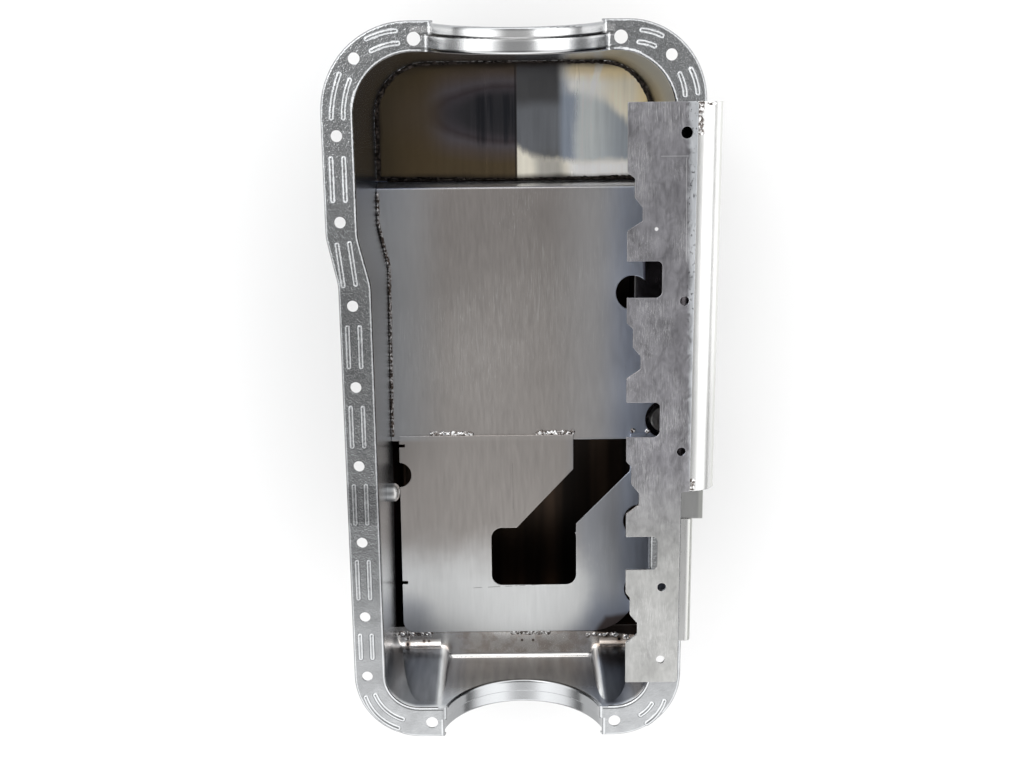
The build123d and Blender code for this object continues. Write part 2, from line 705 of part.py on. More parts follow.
def side_pouch():
    """Narrow pouch beside the rear tray, open to the bowl."""
    outside = along(pouch_section(0), pouch_rear_y, step_box_rear_y)
    inside = along(pouch_section(sheet), pouch_rear_y + sheet, step_box_rear_y - sheet)
    pouch = outside - inside - bowl_space(sheet)
    pouch -= box(-far, trim_rear_x, -far, far, -sheet, far)
    return pouch - box(-far, sump_right_x, -far, far, -far, far)


# ---- sump --------------------------------------------------------------------
def sump_section(inset):
    """Cross-section of the sump box, moved inwards by inset, up to the gasket face."""
    return rounded([
        (sump_left_x + inset, 0, 0), (sump_left_x + inset, -sump_depth + inset, sump_bend_radius - inset),
        (sump_right_x - inset, -sump_depth + inset, 0), (sump_right_x - inset, 0, 0)])


def below_bowl():
    """Everything under the underside of the bowl floor."""
    return across([(floor_rear_y + sheet, -front_depth - sheet, 0), (ramp_front_y, -front_depth - sheet, 0),
                   (ledge_front_y, -rear_depth - sheet, 0), (ledge_front_y - sheet, -rear_depth - sheet, 0),
                   (ledge_front_y - sheet, -far, 0), (floor_rear_y + sheet, -far, 0)], -far, far)


def sump_side_and_floor():
    """One sheet folded into the left side and the floor of the sump."""
    sheet_run = along(sump_section(0) - sump_section(sheet), ledge_front_y, floor_rear_y) & below_bowl()
    return sheet_run - box(sump_right_x - sheet, far, -far, far, -sump_depth + sheet, far)


def sump_front_wall():
    """Front of the sump, reaching across to the kick-out under the creased floor."""
    wall = along(sump_section(0), floor_rear_y, floor_rear_y + sheet)
    wall += box(0, kickout_inner_x, floor_rear_y, floor_rear_y + sheet, -kickout_depth, 0)
    under = creased(-front_depth - sheet)
    keep = cross_section([(under[0][0], -far)] + under + [(under[2][0], -far)])
    wall &= along(keep, floor_rear_y, floor_rear_y + sheet)
    return wall - box(bowl_right_front_x, far, -far, far, -front_depth - sheet, far)


def drain_place():
    """Centre of the drain bung on the rear sump wall."""
    return (drain_x, ledge_front_y, -sump_depth + drain_above_floor)


def sump_rear_wall():
    wall = along(sump_section(0), ledge_front_y - sheet, ledge_front_y) & below_bowl()
    hole = Pos(*drain_place()) * Rot(90, 0, 0) * Cylinder(bung_neck_radius + thread_gap, 6 * sheet)
    return wall - hole


def sump_right_wall():
    """Right side of the sump, low beside the kick-out and full height behind it."""
    wall = box(sump_right_x - sheet, sump_right_x, ledge_front_y, floor_rear_y, -sump_depth + sheet, 0)
    wall &= below_bowl()
    return wall - box(-far, far, kickout_rear_y + sheet, far, -kickout_depth + sheet, 0)


# ---- bungs, plugs and washers --------------------------------------------------
def bung():
    """Threaded bung on +Z, with z = 0 on the inside of the sheet that it is welded to."""
    body = Pos(0, 0, bung_height / 2) * Cylinder(bung_radius, bung_height)
    body = chamfer(body.edges().group_by(Axis.Z)[-1], fitting_chamfer)
    neck = Pos(0, 0, -sheet / 2) * Cylinder(bung_neck_radius, sheet)
    return body + neck - Cylinder(bung_bore_radius, 4 * bung_height)


def plug():
    """Hexagon plug on +Z, seated under its washer."""
    seat = -sheet - washer_thickness
    hexagon = RegularPolygon(plug_hex / 2, 6, major_radius=False)
    head = chamfer(upright(hexagon, seat - plug_head, seat).edges().group_by(Axis.Z)[0], fitting_chamfer)
    shank_length = bung_height + sheet + washer_thickness - plug_short
    return head + Pos(0, 0, seat + shank_length / 2) * Cylinder(bung_bore_radius - thread_gap, shank_length)


def washer():
    ring = Cylinder(washer_radius, washer_thickness)
    ring -= Cylinder(bung_bore_radius + thread_gap, 2 * washer_thickness)
    return Pos(0, 0, -sheet - washer_thickness / 2) * ring


side_bung_seat = Pos(side_bung_x, side_bung_y, -kickout_depth + sheet)
drain_seat = Pos(*drain_place()) * Rot(-90, 0, 0)


def dipstick_boss():
    """Boss for the dipstick tube, welded through the left wall with a domed inner end."""
    wall_in, wall_out = 0.0, -sheet
    dome = boss_reach - boss_radius / 2
    half = Polyline((0, boss_bore_radius), (wall_out - boss_outside, boss_bore_radius),
                    (wall_out - boss_outside, boss_tube_radius), (wall_out - boss_collar, boss_tube_radius),
                    (wall_out - boss_collar, boss_collar_radius), (wall_out, boss_collar_radius),
                    (wall_out, boss_radius - thread_gap), (wall_in, boss_radius - thread_gap),
                    (dome, boss_radius - thread_gap))
    nose = ThreePointArc((dome, boss_radius - thread_gap),
                         (boss_reach - boss_nose_back, boss_radius - boss_nose_inside),
                         (boss_reach, boss_bore_radius))
    face = make_face([*half.edges(), nose, Line((boss_reach, boss_bore_radius), (0, boss_bore_radius))])
    return Pos(bowl_left_rear_x, boss_y, -boss_depth) * revolve(face, Axis.X, 360)


# ---- welds -------------------------------------------------------------------
def floor_plate_weld():
    """Bead all round the creased floor, in the corner with the walls."""
    plan = bowl_outline() & Pos(0, floor_rear_y + far / 2) * Rectangle(2 * far, far)
    block = upright(plan, -front_depth, -front_depth + floor_weld)
    inside = offset(plan, -floor_weld, kind=Kind.INTERSECTION)
    hollow = Pos(0, 0, -front_depth) * extrude(inside, floor_weld, taper=-45)
    under = creased(-front_depth)
    base = cross_section([(under[0][0], -far)] + under + [(under[2][0], -far)])
    return block - hollow - along(base, floor_rear_y, far)


def tray_side_weld():
    """Bead between the front tray and the left wall."""
    ring = upright(bowl_outline() - offset(bowl_outline(), -tray_weld), -far, 0)
    rear, front = tray_joint_y + tray_lap, tray_front_y - bend_radius
    band = across([
        (rear, front_tray_top(rear), 0), (front, front_tray_top(front), 0),
        (front, front_tray_top(front) + tray_weld, 0), (rear, front_tray_top(rear) + tray_weld, 0)], -far, 0)
    return ring & band


def tack(x0, x1, tilt=0.0):
    """Run of weld along X from x0 to x1, lying on a surface tilted about X."""
    length = max(x1 - x0, tack_width)
    slot = SlotOverall(length, tack_width) if length > tack_width else Circle(tack_width / 2)
    run = extrude(slot, tack_height)
    run = fillet(run.edges().group_by(Axis.Z)[-1], tack_height * 0.8)
    return Pos((x0 + x1) / 2, 0, 0) * Rot(tilt, 0, 0) * run


def tray_tack_welds():
    """Tacks along the tray lap, on the rear ledge and in its left corner."""
    lap_y = rear_tray_front_y + tack_width / 2
    rear_y = rear_tray_rear_y - tack_width / 2
    spots = [(x, x) for x in lap_spots]
    lap = [Pos(0, lap_y, front_tray_top(lap_y)) * tack(*run, -degrees(atan2(tray_slope, 1)))
           for run in lap_tacks + spots]
    rear = [Pos(0, rear_y, -rear_depth) * tack(*run) for run in (rear_tack, corner_tack)]
    return Compound(children=lap + rear)


def kickout_tack_welds():
    """Tacks from the rail to the top of the kick-out."""
    x = trim_front_x + tack_width / 2
    tacks = [Pos(x, 0, 0) * Rot(0, 0, 90) * tack(*run) for run in kickout_tacks]
    return Compound(children=tacks)


parts = {
    "pan_stamping": pan_stamping,
    "front_floor_plate": front_floor_plate,
    "front_windage_tray": front_windage_tray,
    "rear_windage_tray": rear_windage_tray,
    "crank_scraper": crank_scraper,
    "kickout_shell": kickout_shell,
    "kickout_front_cap": kickout_front_cap,
    "kickout_rear_cap": kickout_rear_cap,
    "kickout_seam_strip": kickout_seam_strip,
    "step_box": step_box,
    "side_pouch": side_pouch,
    "sump_side_and_floor": sump_side_and_floor,
    "sump_front_wall": sump_front_wall,
    "sump_rear_wall": sump_rear_wall,
    "sump_right_wall": sump_right_wall,
    "dipstick_boss": dipstick_boss,
    "side_bung": lambda: side_bung_seat * bung(),
    "side_bung_plug": lambda: side_bung_seat * plug(),
    "side_bung_washer": lambda: side_bung_seat * washer(),
    "drain_bung": lambda: drain_seat * bung(),
    "drain_plug": lambda: drain_seat * plug(),
    "drain_washer": lambda: drain_seat * washer(),
    "floor_plate_weld": floor_plate_weld,
    "tray_side_weld": tray_side_weld,
    "tray_tack_welds": tray_tack_welds,
    "kickout_tack_welds": kickout_tack_welds,
}

os.makedirs("parts", exist_ok=True)
for name, make in parts.items():
    export_step(make(), f"parts/{name}.step")
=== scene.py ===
import math

import bpy
from bpy.props import FloatProperty, FloatVectorProperty, PointerProperty
from mathutils import Matrix, Vector


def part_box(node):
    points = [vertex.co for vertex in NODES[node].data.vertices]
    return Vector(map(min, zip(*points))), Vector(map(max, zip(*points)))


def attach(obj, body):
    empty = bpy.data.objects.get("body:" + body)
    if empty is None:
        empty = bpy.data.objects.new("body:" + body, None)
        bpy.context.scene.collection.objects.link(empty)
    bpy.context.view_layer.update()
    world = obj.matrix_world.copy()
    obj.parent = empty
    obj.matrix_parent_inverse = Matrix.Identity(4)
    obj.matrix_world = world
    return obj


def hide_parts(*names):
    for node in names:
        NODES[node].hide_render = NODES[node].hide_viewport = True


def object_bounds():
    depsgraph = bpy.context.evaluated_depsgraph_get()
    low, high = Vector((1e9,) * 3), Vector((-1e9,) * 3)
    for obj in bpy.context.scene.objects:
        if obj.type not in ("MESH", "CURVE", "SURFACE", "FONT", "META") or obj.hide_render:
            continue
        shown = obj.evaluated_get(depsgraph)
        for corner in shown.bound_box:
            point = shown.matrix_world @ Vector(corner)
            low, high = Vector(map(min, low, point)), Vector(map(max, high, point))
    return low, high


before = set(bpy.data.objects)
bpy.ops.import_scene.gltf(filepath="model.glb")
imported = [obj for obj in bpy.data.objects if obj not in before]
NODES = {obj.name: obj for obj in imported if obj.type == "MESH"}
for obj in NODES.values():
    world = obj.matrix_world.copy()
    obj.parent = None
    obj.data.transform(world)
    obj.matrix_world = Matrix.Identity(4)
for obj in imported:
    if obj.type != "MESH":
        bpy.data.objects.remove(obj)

bl_info = {
    "name": "Engine oil pan",
    "version": (1, 0, 0),
    "blender": (4, 5, 0),
    "location": "3D View > Sidebar > Oil pan",
    "description": "Finishes, weld beads and studio for a fabricated engine oil pan",
    "category": "Object",
}

CAD_BOX = [list(corner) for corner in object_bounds()]
WHITE = (1.0, 1.0, 1.0)


# ---- shader maths ------------------------------------------------------------
class Maths:
    """A shader value that can be added, multiplied and compared like a number."""

    def __init__(self, surface, socket):
        self.surface = surface
        self.socket = socket

    def with_(self, operation, *others):
        node = self.surface.node("ShaderNodeMath", {"operation": operation}, {})
        for index, item in enumerate((self, *others)):
            self.surface.feed(node.inputs[index], item)
        return Maths(self.surface, node.outputs[0])

    def flipped(self, operation, other):
        node = self.surface.node("ShaderNodeMath", {"operation": operation}, {})
        self.surface.feed(node.inputs[0], other)
        self.surface.feed(node.inputs[1], self)
        return Maths(self.surface, node.outputs[0])

    def __add__(self, other):
        return self.with_("ADD", other)

    __radd__ = __add__

    def __sub__(self, other):
        return self.with_("SUBTRACT", other)

    def __rsub__(self, other):
        return self.flipped("SUBTRACT", other)

    def __mul__(self, other):
        return self.with_("MULTIPLY", other)

    __rmul__ = __mul__

    def __truediv__(self, other):
        return self.with_("DIVIDE", other)

    def __pow__(self, other):
        return self.with_("POWER", other)

    def __abs__(self):
        return self.with_("ABSOLUTE")

    def least(self, other):
        return self.with_("MINIMUM", other)

    def most(self, other):
        return self.with_("MAXIMUM", other)

    def step(self, low, high):
        """0 below low, 1 above high, smooth between; high may be under low."""
        node = self.surface.node(
            "ShaderNodeMapRange", {"interpolation_type": "SMOOTHSTEP"},
            {"From Min": min(low, high), "From Max": max(low, high),
             "To Min": 0.0 if low < high else 1.0, "To Max": 1.0 if low < high else 0.0})
        self.surface.feed(node.inputs["Value"], self)
        return Maths(self.surface, node.outputs["Result"])


def distance(across, along):
    """How far a place is from the point where both values are 0."""
    return (across * across + along * along) ** 0.5


class Surface:
    """One material round a Principled shader."""

    def __init__(self, name, metallic=1.0):
        self.material = bpy.data.materials.new(name)
        self.material.use_nodes = True
        self.tree = self.material.node_tree
        self.shader = self.tree.nodes["Principled BSDF"]
        self.shader.inputs["Metallic"].default_value = metallic
        self.place = self.node("ShaderNodeTexCoord", {}, {}).outputs["Object"]

    @classmethod
    def of_world(cls, world):
        """The same helper for the world's nodes, with the direction as its place."""
        made = cls.__new__(cls)
        made.tree = world.node_tree
        made.shader = made.tree.nodes["Background"]
        made.place = made.node("ShaderNodeTexCoord", {}, {}).outputs["Generated"]
        return made

    def node(self, kind, settings, inputs):
        """Adds a node, sets its own settings first and then its sockets."""
        made = self.tree.nodes.new(kind)
        for key, value in settings.items():
            if key == "stops":
                ramp = made.color_ramp
                while len(ramp.elements) < len(value):
                    ramp.elements.new(1.0)
                for element, (position, colour) in zip(ramp.elements, value):
                    element.position = position
                    element.color = (*colour, 1.0)
            else:
                setattr(made, key, value)
        for key, value in inputs.items():
            self.feed(made.inputs[key], value)
        return made

    def feed(self, socket, value):
        if isinstance(value, Maths):
            value = value.socket
        if isinstance(value, bpy.types.NodeSocket):
            self.tree.links.new(value, socket)
        elif socket.type == "RGBA" and len(value) == 3:
            socket.default_value = (*value, 1.0)
        else:
            socket.default_value = value

    def axes(self):
        """X, Y and Z of the object in metres."""
        parts = self.node("ShaderNodeSeparateXYZ", {}, {"Vector": self.place}).outputs
        return [Maths(self, parts[axis]) for axis in "XYZ"]

    def mapped(self, stretch, turn=0.0, shift=(0, 0, 0)):
        """The place stretched, turned and shifted, for a pattern with a direction."""
        return self.node("ShaderNodeMapping", {}, {
            "Vector": self.place, "Scale": stretch, "Rotation": (0, 0, turn), "Location": shift}).outputs[0]

    def noise(self, scale, detail=3.0, stretch=(1, 1, 1), turn=0.0, shift=(0, 0, 0), distortion=0.0):
        made = self.node("ShaderNodeTexNoise", {}, {
            "Vector": self.mapped(stretch, turn, shift), "Scale": scale, "Detail": detail,
            "Distortion": distortion})
        return Maths(self, made.outputs["Fac"])

    def ramp(self, value, stops):
        return self.node("ShaderNodeValToRGB", {"stops": stops}, {"Fac": value}).outputs["Color"]

    def mix(self, mask, first, second, blend="MIX"):
        made = self.node("ShaderNodeMix", {"data_type": "RGBA", "blend_type": blend}, {})
        self.feed(made.inputs[0], mask)
        self.feed(made.inputs[6], first)
        self.feed(made.inputs[7], second)
        return made.outputs[2]

    def coats(self, colour, *coats):
        """Colour under thin coats, each with its mask and its tone, laid one over the other."""
        for mask, tone in coats:
            colour = self.mix(mask, colour, tone)
        return colour

    def shade(self, colour, amount):
        """Colour made darker or lighter by a value round 1."""
        grey = self.node("ShaderNodeCombineColor", {}, {"Red": amount, "Green": amount, "Blue": amount})
        return self.mix(1.0, colour, grey.outputs[0], "MULTIPLY")

    def finish(self, colour, roughness, height=None, depth=0.0001, strength=1.0, eased=0.0):
        """Feeds the shader; depth is how far the height rises in metres, and eased is the radius by
        which sharp edges catch the light as if rounded."""
        self.feed(self.shader.inputs["Base Color"], colour)
        self.feed(self.shader.inputs["Roughness"], roughness)
        if height is not None:
            bump = self.node("ShaderNodeBump", {}, {"Height": height, "Distance": depth,
                                                    "Strength": strength})
            if eased:
                self.feed(bump.inputs["Normal"], self.node(
                    "ShaderNodeBevel", {"samples": 6}, {"Radius": eased}).outputs[0])
            self.feed(self.shader.inputs["Normal"], bump.outputs[0])
        return self.material

    def scratches(self, scale, turn, narrow=0.03, length=60.0, shift=(0, 0, 0)):
        """Thin lines that run across the sheet, as a mask."""
        line = self.noise(scale, 1.0, (length, 1.0, 1.0), turn, shift)
        patch = self.noise(scale * 0.35, 2.0, (1, 1, 1), 0.0, shift)
        return abs(line - 0.5).step(narrow, 0.0) * patch.step(0.52, 0.66)


def assign(material, *names):
    """Gives CAD nodes a finish by their material slots."""
    for name in names:
        node = NODES[name]
        if not node.data.materials:
            node.data.materials.append(material)
        for index in range(len(node.material_slots)):
            node.material_slots[index].material = material


# ---- modelling helpers ---------------------------------------------------------
def clear_selection():
    bpy.ops.object.select_all(action="DESELECT")


def only(obj):
    clear_selection()
    obj.select_set(True)
    bpy.context.view_layer.objects.active = obj


def apply_place(obj):
    only(obj)
    bpy.ops.object.transform_apply(location=True, rotation=True, scale=True)


def apply_modifier(obj, kind, settings):
    """Adds a modifier, sets it and applies it."""
    made = obj.modifiers.new(kind.title(), kind)
    for key, value in settings.items():
        setattr(made, key, value)
    only(obj)
    bpy.ops.object.modifier_apply(modifier=made.name)


def add_piece(obj, name, material):
    """Names a finished piece, gives it its finish and lets it ride with the pan."""
    obj.name = name
    obj.data.name = name
    obj.data.materials.clear()
    obj.data.materials.append(material)
    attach(obj, "root")
    return obj


# ---- settings -----------------------------------------------------------------
class StudioSettings(bpy.types.PropertyGroup):
    overhead: FloatProperty(name="Overhead", description="Strength of the room straight above the pan",
                            default=0.36, min=0.0)
    shoulder: FloatProperty(name="Shoulder", description="Strength of the room a little off the zenith",
                            default=1.0, min=0.0)
    ring: FloatProperty(name="Ring", description="Strength of the bright ring half way up the room",
                        default=2.1, min=0.0)
    around: FloatProperty(name="Around", description="Strength of the room near the floor",
                          default=0.35, min=0.0)
    lamp: FloatProperty(name="Key lamp", description="Power of the soft lamp at the front left",
                        default=5.0, min=0.0, unit="POWER")
    floor_glow: FloatProperty(name="Floor glow", description="Glow that keeps the floor pale",
                              default=0.17, min=0.0, max=1.0)
    floor_colour: FloatVectorProperty(name="Floor", description="Colour of the floor", subtype="COLOR",
                                      default=(0.62, 0.62, 0.62), min=0.0, max=1.0)


class SheetSettings(bpy.types.PropertyGroup):
    zinc: FloatVectorProperty(name="Zinc", description="Colour of the plated pressing", subtype="COLOR",
                              default=(0.47, 0.48, 0.49), min=0.0, max=1.0)
    tray: FloatVectorProperty(name="Trays", description="Colour of the rolled tray sheet", subtype="COLOR",
                              default=(0.46, 0.43, 0.41), min=0.0, max=1.0)
    scraper: FloatVectorProperty(name="Scraper", description="Colour of the scraper plate", subtype="COLOR",
                                 default=(0.25, 0.245, 0.262), min=0.0, max=1.0)
    kickout: FloatVectorProperty(name="Kick-out", description="Colour of the rolled kick-out",
                                 subtype="COLOR", default=(0.86, 0.86, 0.85), min=0.0, max=1.0)


class WeldSettings(bpy.types.PropertyGroup):
    pitch: FloatProperty(name="Puddle pitch", description="Distance between the puddles of a tack",
                         default=0.0031, min=0.001, unit="LENGTH")
    skin: FloatProperty(name="Mesh size", description="Mesh size of a fused bead",
                        default=0.0006, min=0.0003, unit="LENGTH")
    ragged: FloatProperty(name="Ragged", description="How far the skin of a bead wanders",
                          default=0.0024, min=0.0, unit="LENGTH")
    bead: FloatVectorProperty(name="Bead", description="Colour of a burnt bead", subtype="COLOR",
                              default=(0.012, 0.010, 0.009), min=0.0, max=1.0)
    tack: FloatVectorProperty(name="Tack", description="Colour of a clean tack", subtype="COLOR",
                              default=(0.92, 0.92, 0.92), min=0.0, max=1.0)


# ---- studio -------------------------------------------------------------------
CAMERA_LENS = 41.13                 # millimetres
CAMERA_SENSOR = 36.0                # millimetres
CAMERA_PLACE = (-0.0065, 0.2136, 0.8967)
CAMERA_ACROSS = (0.99995, -0.01011, 0.00224)
CAMERA_BACK = (0.0, 0.21677, 0.97622)
ROOM_BANDS = (                      # a band, the next one up, and the heights over which they blend
    ("around", "ring", 0.05, 0.45),
    ("ring", "shoulder", 0.78, 0.90),
    ("shoulder", "overhead", 0.885, 0.972),
)
FLOOR_SIZE = 6.0
FLOOR_GAP = 0.0002                  # keeps the floor clear of the sump
LAMP_PLACE = (-0.9, 1.0, 1.7)
LAMP_TARGET = (0.0, 0.0, -0.05)
LAMP_SIZE = (0.9, 0.9)


def add_camera(scene):
    """Camera above the pan that looks almost straight down."""
    data = bpy.data.cameras.new("camera")
    data.lens = CAMERA_LENS
    data.sensor_width = CAMERA_SENSOR
    data.clip_start, data.clip_end = 0.01, 20.0
    camera = bpy.data.objects.new("camera", data)
    across, back = Vector(CAMERA_ACROSS), Vector(CAMERA_BACK)
    up = back.cross(across).normalized()
    back = across.cross(up).normalized()
    turn = Matrix((across, up, back)).transposed().to_4x4()
    camera.matrix_world = Matrix.Translation(CAMERA_PLACE) @ turn
    bpy.context.collection.objects.link(camera)
    scene.camera = camera


def add_room(scene, studio):
    """White room whose light is dim overhead and near the floor, and strongest half way up."""
    world = bpy.data.worlds.new("studio")
    world.use_nodes = True
    scene.world = world
    room = Surface.of_world(world)
    height = room.axes()[2]
    seen = Maths(room, room.node("ShaderNodeLightPath", {}, {}).outputs["Is Camera Ray"])
    light = studio.around
    for lower, upper, start, end in ROOM_BANDS:
        light = light + height.step(start, end) * (getattr(studio, upper) - getattr(studio, lower))
    room.feed(room.shader.inputs["Strength"], light + seen * (1.0 - light))
    room.feed(room.shader.inputs["Color"], WHITE)


def add_floor(studio):
    """Pale floor that glows a little for the camera and in reflections, and keeps the shadow."""
    clear_selection()
    bpy.ops.mesh.primitive_plane_add(size=FLOOR_SIZE, location=(0, 0, CAD_BOX[0][2] - FLOOR_GAP))
    floor = bpy.context.object
    floor.name = "floor"
    apply_place(floor)
    paint = Surface("floor", metallic=0.0)
    material = paint.finish(tuple(studio.floor_colour), 0.9)
    rays = paint.node("ShaderNodeLightPath", {}, {}).outputs
    seen = Maths(paint, rays["Is Camera Ray"]).most(Maths(paint, rays["Is Glossy Ray"]))
    glow = paint.node("ShaderNodeEmission", {}, {"Color": WHITE, "Strength": seen * studio.floor_glow})
    both = paint.node("ShaderNodeAddShader", {}, {})
    paint.feed(both.inputs[0], paint.shader.outputs[0])
    paint.feed(both.inputs[1], glow.outputs[0])
    paint.feed(paint.tree.nodes["Material Output"].inputs["Surface"], both.outputs[0])
    floor.data.materials.append(material)


def add_lamp(studio):
    """Soft square lamp at the front left."""
    data = bpy.data.lights.new("key lamp", "AREA")
    data.shape = "RECTANGLE"
    data.size, data.size_y = LAMP_SIZE
    data.energy = studio.lamp
    lamp = bpy.data.objects.new("key lamp", data)
    lamp.location = LAMP_PLACE
    lamp.rotation_euler = (Vector(LAMP_TARGET) - Vector(LAMP_PLACE)).to_track_quat("-Z", "Y").to_euler()
    bpy.context.collection.objects.link(lamp)


class OILPAN_OT_studio(bpy.types.Operator):
    """Adds the camera, the room, the pale floor and the soft lamp"""
    bl_idname = "oilpan.studio"
    bl_label = "Studio"

    def execute(self, context):
        scene = context.scene
        scene.view_settings.view_transform = "Standard"
        add_camera(scene)
        add_room(scene, scene.oilpan_studio)
        add_floor(scene.oilpan_studio)
        add_lamp(scene.oilpan_studio)
        return {"FINISHED"}


# ---- pressed rail and bowl --------------------------------------------------------
# Each pair of places, in metres, says where a mask starts and where it is full.
BELOW_RAIL = (-0.002, -0.008)       # z
BOWL_FRONT = (0.2675, 0.2655)       # y of the front wall
BOWL_REAR = (-0.2638, -0.2629)      # y of the rear wall
FRONT_WALLS = (0.120, 0.185)         # y of the front walls, which carry a painted dark reflection of the floor besides their heat tints
REAR_PART = (-0.225, -0.240)        # y from which the rear bay and its pockets begin
CALM_RAIL = (-0.060, -0.230)        # y over which the grain of the rail dies away
LEFT_WALL = (-0.090, -0.100)        # x
LEFT_INNER_FRONT = (-0.1242, -0.1236)   # x of the inner face of the left wall, ahead of its joggle
LEFT_INNER_REAR = (-0.1156, -0.1148)    # x of the same face behind the joggle
LEDGE_FRONT = (-0.2325, -0.2335)    # y
LEDGE_REAR = (-0.2600, -0.2585)     # y
LEDGE_LEVEL = (-0.090, -0.0955)     # z
BAY_CENTRE = -0.0015                # x of the middle of the rear bay
BAY_HALF = 0.065                    # half the width of the rear bay
CHANNEL_CENTRE = -0.0035            # x of the middle of the front seal channel
CHANNEL_END = (0.0765, 0.0740)      # half the length of its bands of painted highlight
CHANNEL_CREST = (0.2755, 0.2775)    # y between its inner and its outer band
CHANNEL_STEPS = (                   # y of its two small steps, with the half width of each
    (0.2790, 0.0016, 0.0008),
    (0.2687, 0.0012, 0.0006),
)
BURN_PITS = (                       # x, y and radius of the pits burnt through the rear ledge
    (-0.1041, -0.2493, 0.0016), (-0.0894, -0.2469, 0.0009), (-0.0848, -0.2470, 0.0008),
    (0.0003, -0.2470, 0.0008), (0.0103, -0.2471, 0.0008), (0.0606, -0.2437, 0.0011),
    (0.0770, -0.2429, 0.0018), (0.0890, -0.2465, 0.0017),
)


